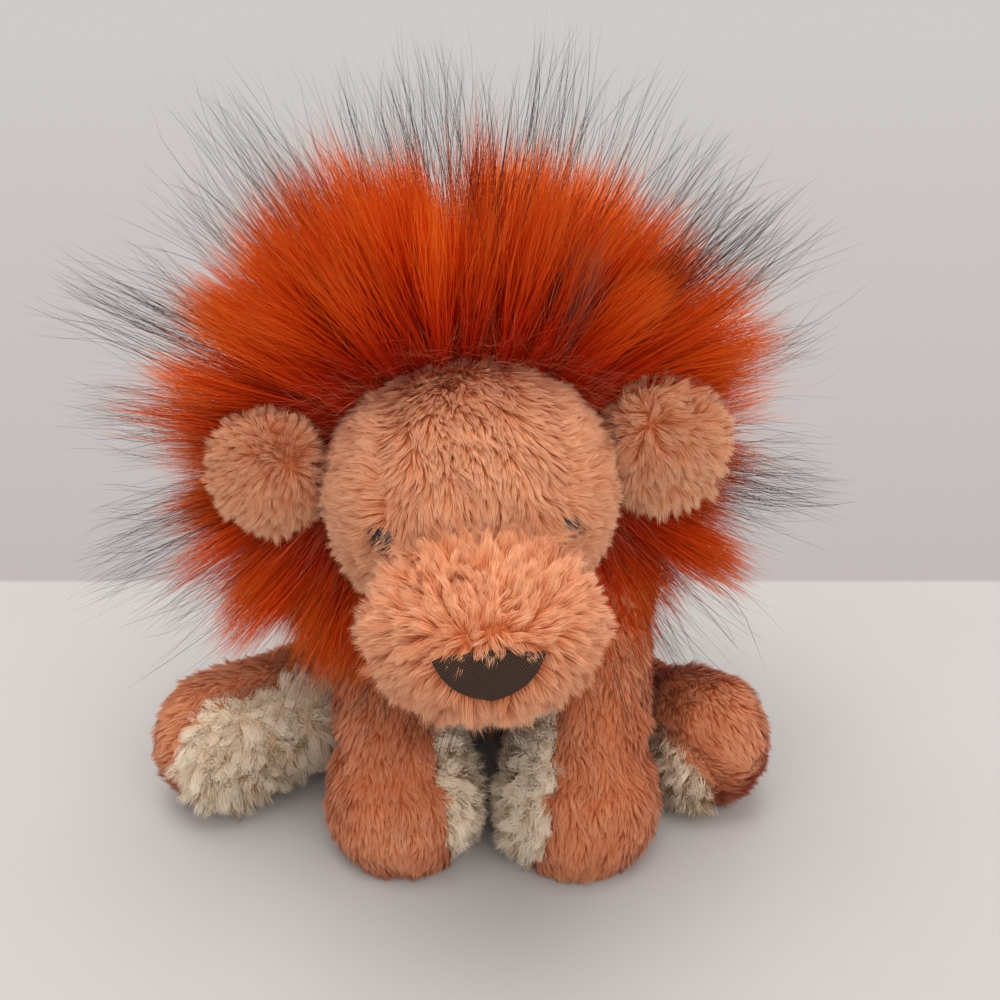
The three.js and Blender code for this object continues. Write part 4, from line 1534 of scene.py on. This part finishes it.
    def lashed(
        self, roots: Roots, lie: Points, eyes: list[Points], rng: np.random.Generator
    ) -> tuple[Points, Points]:
        """Bends some of the fur round each eye over the dome.

        Args:
            roots: Where the hairs stand.
            lie: Direction of each hair.
            eyes: Middles of the eyes, the right one first.
            rng: Random source.

        Returns:
            The new directions, and how many times longer each hair grows.
        """
        longer = np.ones(len(lie))
        for eye, share in zip(eyes, self.lids):
            way = eye - roots.points
            near = np.exp(-((np.linalg.norm(way, axis=1) / self.lid_reach) ** 6))
            over = near * (rng.uniform(size=len(near)) < share) * (way[:, 2] < self.lid_height)
            bent = unit(unit(way) + 0.9 * roots.normals)
            lie = unit(lie * (1 - over[:, None]) + bent * over[:, None])
            longer += 0.3 * over
        return lie, longer

    def brow_shade(self, p: Points) -> Points:
        """Tells how deep places of the head's frame lie in the painted shade of the brow's fold,
        from 0 to 1.
        """
        apart = (p - np.array(self.brow)) / np.array(self.brow_half)
        return np.exp(-(np.linalg.norm(apart, axis=1) ** 2))

    def bare(self, points: Points, eyes: list[Points], nose: tuple[Points, Points]) -> Points:
        """Tells which roots are not under an eye or the nose.

        Args:
            points: Where the hairs stand.
            eyes: Middles of the eyes.
            nose: Lowest and highest corner of the nose, in the head's frame.

        Returns:
            A mask of the roots to keep.
        """
        kept = np.ones(len(points), bool)
        for eye in eyes:
            kept &= np.linalg.norm(points - eye, axis=1) > self.eye_radius
        p = self.place.inside(points)
        low, high = nose
        middle, half = (low + high) / 2, (high - low) / 2
        x = np.abs(p[:, 0] - middle[0]) / half[0]
        z = (p[:, 2] - low[2]) / (high[2] - low[2])
        under = (p[:, 1] < middle[1] + 12) & (x < 0.97)
        under &= (z < 0.97 - 0.2 * x**2) & (z > 0.06 + 0.72 * x**1.6)
        return kept & ~under

    def eye(self, node: str) -> Points:
        """Makes one smooth dome.

        Args:
            node: CAD node of the eye.

        Returns:
            The middle of its front, in millimetres.
        """
        dome = Skin([node], voxel=0.45, smoothing=2)
        piece = dome.pieces([f"{node}_dome"])[0]
        finish_piece(piece, EyePlastic(), "head", [node])
        front = dome.points[dome.points[:, 1] < dome.points[:, 1].min() + 4]
        return front.mean(axis=0)

    def nose(self) -> tuple[Points, Points]:
        """Makes the padded nose.

        Returns:
            Its lowest and highest corner in the head's frame.
        """
        pad = Skin(["nose"], voxel=0.6, smoothing=4)
        piece = pad.pieces(["nose_pad"])[0]
        finish_piece(piece, NoseTwill(), "head", ["nose"])
        inside = self.place.inside(pad.points)
        return inside.min(axis=0), inside.max(axis=0)


@dataclass
class Ear:
    """Thick round ear of two plush panels.

    Attributes:
        body: Name of the ear's body.
        seed: Seed of its fur.
        whorl: Middle of the swirl in its fur, from the ear's middle.
        inset: How far its cloth lies below the CAD surface.
        trim: How long its fur is, as a share of the coat's.
        radius: Distance from the whorl at which the fur is palest.
        fill: How tightly it is stuffed; not used.
    """

    body: str
    seed: int
    whorl: tuple[float, float, float]
    inset: float = 1.2
    trim: float = 1.0
    radius: float = 24.0
    fill: float = 0.5

    def build(self) -> None:
        """Makes the skins and the fur that fans out to the rim."""
        body, rng = self.body, np.random.default_rng(self.seed)
        nodes = [f"{body}_front_panel", f"{body}_back_panel"]
        names = [f"{body}_front_skin", f"{body}_back_skin"]
        insets = (self.inset, self.inset)
        skin = Skin(nodes, voxel=1.6, smoothing=6, seam_depth=0.6, insets=insets)
        for node, piece in zip(nodes, skin.pieces(names)):
            finish_piece(piece, PLUSH_CLOTH, body, [node])
        middle = (skin.points.min(axis=0) + skin.points.max(axis=0)) / 2 + np.array(self.whorl)
        for name, roots in zip(("front", "back"), skin.roots(EAR_COAT.per_mm2, rng)):
            apart = roots.points - middle
            seeds = range(self.seed + 1, self.seed + 4)
            flow = unit(apart) + 0.3 * ripples(roots.points, 8, seeds)
            rim = np.clip(np.linalg.norm(apart, axis=1) / self.radius, 0, 1) ** 2
            tone = patchy(roots.points, 0.6 + 0.38 * rim, size=14, seed=self.seed, depth=0.08)
            EAR_FUR.cover(f"{body}_{name}_fur", body, roots, flow, tone, rng, self.trim)


class ManeHair(Enum):
    """Kinds of hair in the mane, each with its coat and its dye."""

    FUR = ("mane_fur", MANE_COAT, MANE_DYE)
    RUFF = ("mane_ruff", RUFF_COAT, MANE_DYE)
    GUARD = ("mane_guard_hair", GUARD_COAT, GUARD_DYE)
    STRAY = ("mane_stray_hair", STRAY_COAT, STRAY_DYE)
    WISP = ("mane_dark_wisp", WISP_COAT, WISP_DYE)


@dataclass
class Mane:
    """Long fur that fans out from behind the hairline.

    Attributes:
        head: The head that it grows on.
        first_lean: Angle back of the front row.
        last_lean: Angle back of the hair on the nape.
        forelock: How much further forward the hair over the forehead stands, in degrees.
        bib: How much further forward the hair over the shoulders hangs, in degrees.
        ear_room: How much further back the hair behind the ears stands, in degrees.
        hang: How far the side hair turns down, in degrees.
        sink: How far the hair on the nape slopes down, as a share of its way back.
        proud: How far hair may stand out of the CAD model's box.
        middle: Height of the point that the hair fans out from.
        turn_depth: Depth behind the hairline over which the lean grows.
        front_depth: Depth of the front rows, which the bib and the ears' room move.
        lock_width: Half width of the forelock.
        lock_depth: Depth of the forelock behind the hairline.
        lock_height: Only hair above this belongs to the forelock.
        ear_height: Angle up from level at which the ears stand.
        ear_spread: Angle over which the hair makes room for them.
        sunk_from: Angle up from level below which the hair starts to sink.
        sunk_over: Angle over which it does.
        stray_depth: How far behind the hairline stray hair grows.
        clump: Size of the clumps and gaps in the guard hair, on a fan of radius one.
        gaps: How ragged these are.
        locks: Size, seed and depth of the uneven locks, on the same fan.
        wisp: Root of the dark wisp over the forehead, in the head's frame.
        wisp_radius: How wide that root is.
        wisp_way: The way that the wisp points, in the head's frame.
        seed: Seed of the hair.
    """

    head: Head
    first_lean: float = -10.0
    last_lean: float = 84.0
    forelock: float = 16.0
    bib: float = 34.0
    ear_room: float = 24.0
    hang: float = 58.0
    sink: float = 0.25
    proud: float = 14.0
    middle: float = -4.0
    turn_depth: float = 34.0
    front_depth: float = 10.0
    lock_width: float = 24.0
    lock_depth: float = 6.0
    lock_height: float = 20.0
    ear_height: float = 14.0
    ear_spread: float = 24.0
    sunk_from: float = 55.0
    sunk_over: float = 95.0
    stray_depth: float = 9.0
    clump: float = 0.4
    gaps: float = 1.1
    locks: tuple[tuple[float, int, float], ...] = ((0.5, 12, 0.06), (0.18, 13, 0.05))
    wisp: tuple[float, float, float] = (28.0, 8.0, 32.0)
    wisp_radius: float = 3.6
    wisp_way: tuple[float, float, float] = (-0.06, -0.42, 1.0)
    seed: int = 31

    def fan(self, roots: Roots) -> tuple[Points, Points]:
        """Works out how each hair stands.

        Args:
            roots: Where the hairs stand.

        Returns:
            Direction of each hair in the row frame, and its distance behind the hairline.
        """
        p = self.head.place.inside(roots.points)
        back = unit(np.array([0.0, 1.0, self.head.hairline_slope]))
        depth = (p - np.array([0.0, self.head.hairline, 0.0])) @ back
        behind = np.clip(depth, 0, None)
        front = np.exp(-behind / self.front_depth)
        crown = np.exp(-((p[:, 0] / self.lock_width) ** 2)) * np.exp(-behind / self.lock_depth)
        crown = crown * (p[:, 2] > self.lock_height)
        side = np.where(p[:, 0] < 0, -1.0, 1.0)
        height = np.degrees(np.arctan2(p[:, 2] - self.middle, np.abs(p[:, 0])))
        sunk = np.clip((self.sunk_from - height) / self.sunk_over, 0, 1)
        beside_ear = np.exp(-(((height - self.ear_height) / self.ear_spread) ** 2))
        turned = np.clip(depth / self.turn_depth, 0, 1)
        lean = self.first_lean + (self.last_lean - self.first_lean) * turned
        lean = lean - self.forelock * crown - self.bib * sunk**3 * front
        lean = np.radians(lean + self.ear_room * beside_ear * front)[:, None]
        height = np.radians(height - self.hang * sunk**1.5)
        lie = np.stack([side * np.cos(height), np.zeros(len(p)), np.sin(height)], axis=1)
        lie = lie * np.cos(lean) + np.array([0.0, 1.0, -self.sink]) * np.sin(lean)
        return self.head.place.outward(unit(lie)), depth

    def build(self, others: Sequence[Skin]) -> None:
        """Grows the dense fur, the ruff, the guard hairs, the stray hairs and the wisp.

        Args:
            others: Skins that the hair lies on.
        """
        rng = np.random.default_rng(self.seed)
        walls = [skin.wall() for skin in others]
        for hair in ManeHair:
            self.grow_hair(hair, walls, rng)

    def placed(
        self, hair: ManeHair, roots: Roots, rng: np.random.Generator
    ) -> tuple[Points, Points]:
        """Picks the roots of one kind of hair, thinner towards the nape, and turns its hairs.

        Args:
            hair: Kind of hair.
            roots: Places on the backing.
            rng: Random source.

        Returns:
            A mask of the roots to keep, and the direction of each hair.
        """
        lie, depth = self.fan(roots)
        low = np.clip(0.15 - lie[:, 2], 0, 1)
        share = 0.42 + 0.4 * np.exp(-np.clip(depth, 0, None) / 9) + 0.9 * low
        kept = rng.uniform(size=len(depth)) < share
        if hair is ManeHair.GUARD:
            clumps = Ripple(self.clump, 77)(lie)
            kept &= clumps + self.gaps * rng.normal(size=len(depth)) > 0.0
        elif hair is ManeHair.RUFF:
            kept &= low > 0.3
        elif hair is ManeHair.STRAY:
            kept &= depth < self.stray_depth
            lie = unit(lie + self.head.place.outward(np.array([[0.0, -0.7, 0.0]])))
        elif hair is ManeHair.WISP:
            apart = self.head.place.inside(roots.points) - np.array(self.wisp)
            kept = np.linalg.norm(apart, axis=1) < self.wisp_radius
            lie = unit(0.25 * lie + self.head.place.outward(np.array([self.wisp_way])))
        return kept, lie

    def grow_hair(
        self, hair: ManeHair, walls: Sequence[BVHTree], rng: np.random.Generator
    ) -> None:
        """Grows one kind of hair over the mane's backing.

        Args:
            hair: Kind of hair.
            walls: Surfaces that it lies on.
            rng: Random source.
        """
        name, coat, dye = hair.value
        roots = self.head.skin.roots(coat.per_mm2, rng)[-1]
        kept, lie = self.placed(hair, roots, rng)
        roots, lie = roots.only(kept), lie[kept]
        low, high = np.clip(-lie[:, 2], 0, 1), np.clip(lie[:, 2], 0, 1)
        ragged = 1 + sum(depth * Ripple(size, seed)(lie) for size, seed, depth in self.locks)
        length = coat.length * (1 - 0.12 * low + 0.11 * high) * ragged
        # Painted shade: hair that hangs down gets a darker tone.
        tone = patchy(lie * 60, 0.52, size=26, seed=self.seed, depth=0.11) - 0.3 * low
        pelt = grow(coat, roots, lie, length, tone, rng, walls, self.proud)
        made = pelt.build(name, dye, "head", Slot.MANE)
        if hair is ManeHair.FUR:
            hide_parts("mane_pile")


@dataclass
class Tail:
    """Plush tail with a tuft of the mane's fur.

    Attributes:
        body: Name of its body.
        seed: Seed of its fur.
        fill: How tightly the sleeve is stuffed; not used.
        core: Size of the tuft's cloth, as a share of the tuft.
    """

    body: str = "tail"
    seed: int = 61
    fill: float = 0.6
    core: float = 0.6

    def build(self) -> None:
        """Makes the tail's skins, fur and tuft."""
        body, rng = self.body, np.random.default_rng(self.seed)
        sleeve = Skin(["tail_sleeve"], voxel=1.6, smoothing=5)
        piece = sleeve.pieces(["tail_sleeve_skin"])[0]
        finish_piece(piece, PLUSH_CLOTH, body, ["tail_sleeve"])
        core = Skin(["tail_tuft"], voxel=1.8, smoothing=5)
        middle = core.points.mean(axis=0)
        core.points -= (core.points - middle) * (1 - self.core)
        piece = core.pieces(["tail_tuft_core"])[0]
        finish_piece(piece, MANE_CLOTH, body, ["tail_tuft"])
        flow = unit(core.points.mean(axis=0) - pivot_of(body))
        roots = sleeve.roots(LEG_COAT.per_mm2, rng)[0]
        combed = flow * np.ones_like(roots.points)
        tone = patchy(roots.points, 0.45, size=20, seed=4)
        LEG_FUR.cover("tail_sleeve_fur", body, roots, combed, tone, rng, 0.8)
        roots = core.roots(TUFT_COAT.per_mm2, rng)[0]
        lie = unit(roots.normals * 0.55 + flow)
        length = TUFT_COAT.length * np.ones(len(lie))
        tone = patchy(roots.points, 0.4, size=12, seed=8)
        pelt = grow(TUFT_COAT, roots, lie, length, tone, rng)
        pelt.build("tail_tuft_fur", MANE_DYE, body, Slot.MANE)


# Stage


@dataclass(frozen=True)
class Lamp:
    """A soft rectangular studio lamp.

    Attributes:
        name: Name of the lamp.
        place: Where it hangs, in metres.
        size: Width of its face, in metres.
        power: Power in watts.
        colour: Hex colour of its light.
        target: Where it points, in metres.
    """

    name: str
    place: tuple[float, float, float]
    size: float
    power: float
    colour: str
    target: tuple[float, float, float] = (0, -0.04, 0.1)

    def build(self) -> None:
        """Hangs the lamp so that it faces the lion."""
        data = bpy.data.lights.new(self.name, "AREA")
        data.shape = "SQUARE"
        data.size = self.size
        data.energy = self.power
        data.color = linear(self.colour)[:3]
        lamp = bpy.data.objects.new(self.name, data)
        bpy.context.scene.collection.objects.link(lamp)
        lamp.location = self.place
        facing = Vector(self.target) - Vector(self.place)
        lamp.rotation_euler = facing.to_track_quat("-Z", "Y").to_euler()


@dataclass(frozen=True)
class Studio:
    """Pale floor and backdrop, soft light and the camera.

    Attributes:
        floor: Colour of the floor.
        fleck: Colour of the faint clouds in it.
        side: Half width of the floor, in metres.
        near_wall: Colour of the backdrop where it starts behind the lion.
        far_wall: Its colour at the top of the picture.
        wall_start: How far behind the seat the backdrop starts, in metres.
        wall_end: How far behind it the backdrop has its last colour, in metres.
        edge: Half width of the change from floor to backdrop, in metres.
        ambient: Strength of the even room light.
        daylight: Colour of that light.
        lamps: The lamps.
        lens: Focal length of the camera, in millimetres.
        target: Where the camera looks, in millimetres.
        elevation: Its angle above the floor, in degrees.
        distance: Its distance from the target, in millimetres.
    """

    floor: str = "#b4b2b0"
    fleck: str = "#b8b6b3"
    side: float = 6.0
    near_wall: str = "#c2b9b8"
    far_wall: str = "#cfcbc8"
    wall_start: float = 0.094
    wall_end: float = 1.6
    edge: float = 0.0015
    ambient: float = 0.85
    daylight: str = "#f4f3f6"
    lamps: tuple[Lamp, ...] = (
        Lamp("key lamp", (-0.15, -0.04, 1.5), 1.1, 16.5, "#fffaf4"),
        Lamp("fill lamp", (0.5, -1.2, 1.0), 1.4, 9.5, "#fffaf6"),
    )
    lens: float = 50.4
    target: tuple[float, float, float] = (3.2, -50.0, 114.0)
    elevation: float = 27.0
    distance: float = 444.0

    def build(self) -> None:
        """Sets up the whole stage."""
        self.build_floor()
        self.build_world()
        for lamp in self.lamps:
            lamp.build()
        self.build_camera()

    def build_floor(self) -> None:
        """Lays a wide matt floor that turns into an evenly lit backdrop behind the lion."""
        side, start = self.side, self.wall_start
        points = np.array([(-side, -side, 0), (side, -side, 0), (side, side, 0), (-side, side, 0)])
        floor = mesh_object("floor", points, np.array([(0, 1, 2), (0, 2, 3)]))
        material, tree = new_material("studio floor, matt pale laminate")
        place = add(tree, "TexCoord").outputs["Object"]
        depth = add(tree, "SeparateXYZ", {"Vector": place}).outputs["Y"]
        grain = {"Vector": place, "Scale": 5.0, "Detail": 4.0}
        grain = add(tree, "TexNoise", grain).outputs["Fac"]
        colour = add(tree, "ValToRGB", {"Fac": grain}, ((0.3, self.floor), (0.7, self.fleck)))
        laminate = {"Base Color": colour.outputs["Color"], "Roughness": 0.7}
        laminate |= {"Specular IOR Level": 0.1}
        shader = add(tree, "BsdfPrincipled", laminate)
        far = {"Value": depth, "From Min": start, "From Max": self.wall_end}
        far = add(tree, "MapRange", far).outputs[0]
        shift = add(tree, "Math", {0: far, 1: 0.5}, operation="POWER").outputs[0]
        shades = ((0.0, self.near_wall), (1.0, self.far_wall))
        wall = add(tree, "ValToRGB", {"Fac": shift}, shades).outputs["Color"]
        glow = add(tree, "Emission", {"Color": wall}).outputs[0]
        behind = {"Value": depth, "From Min": start - self.edge, "From Max": start + self.edge}
        behind = add(tree, "MapRange", behind).outputs[0]
        mix = add(tree, "MixShader", {0: behind, 1: shader.outputs["BSDF"], 2: glow})
        add(tree, "OutputMaterial", {"Surface": mix.outputs[0]})
        floor.data.materials.append(material)

    def build_world(self) -> None:
        """Shows a plain pale colour to the camera and lights the lion evenly."""
        world = bpy.data.worlds.new("soft room light")
        world.use_nodes = True
        tree = world.node_tree
        tree.nodes.clear()
        room = {"Color": linear(self.daylight), "Strength": self.ambient}
        light = add(tree, "Background", room).outputs[0]
        wall = {"Color": linear(self.far_wall), "Strength": 1.0}
        shown = add(tree, "Background", wall).outputs[0]
        seen = add(tree, "LightPath").outputs["Is Camera Ray"]
        mix = add(tree, "MixShader", {0: seen, 1: light, 2: shown})
        add(tree, "OutputWorld", {"Surface": mix.outputs[0]})
        bpy.context.scene.world = world

    def build_camera(self) -> None:
        """Puts the camera where the photo was taken from."""
        tilt = math.radians(self.elevation)
        target = Vector(self.target) * MM
        away = Vector((0, -math.cos(tilt), math.sin(tilt))) * self.distance * MM
        data = bpy.data.cameras.new("camera")
        data.lens = self.lens
        data.sensor_width = 36.0
        data.dof.use_dof = False
        camera = bpy.data.objects.new("camera", data)
        bpy.context.scene.collection.objects.link(camera)
        facing = (-away).to_track_quat("-Z", "Y").to_matrix().to_4x4()
        camera.matrix_world = Matrix.Translation(target + away) @ facing
        bpy.context.scene.camera = camera


def main() -> None:
    """Builds the lion from the rump up, then the stage."""
    logging.basicConfig(level=logging.INFO, format="%(message)s")
    bpy.context.scene.view_settings.view_transform = "Standard"
    skins = [Torso().build()]
    legs = [
        # Painted shade: the forelegs' plush has a low tone for the shade of the head above them.
        Limb("foreleg_right", 41, tone=0.16, inset=1.6, crease=35.0),
        Limb("foreleg_left", 42, tone=0.16, inset=0.2, crease=35.0),
        Limb("hindleg_right", 43, tone=0.34, fill=0.65, give=4.0),
        Limb("hindleg_left", 44, tone=0.34, fill=0.65, inset=0.8, give=2.0),
    ]
    skins += [leg.build() for leg in legs]
    head = Head(HeadPlace())
    head.build()
    Ear("ear_right", 51, (7.0, 0.0, 3.5), inset=2.8, trim=0.82).build()
    Ear("ear_left", 52, (-6.0, 0.0, 7.0)).build()
    Mane(head).build(skins[:3])
    Tail().build()
    for washer in ("eye_washer_right", "eye_washer_left"):
        node = frame["nodes"][washer]
        node.data.materials.clear()
        node.data.materials.append(wardrobe.get(WasherNylon()))
    Studio().build()


if __name__ == "__main__":
    main()
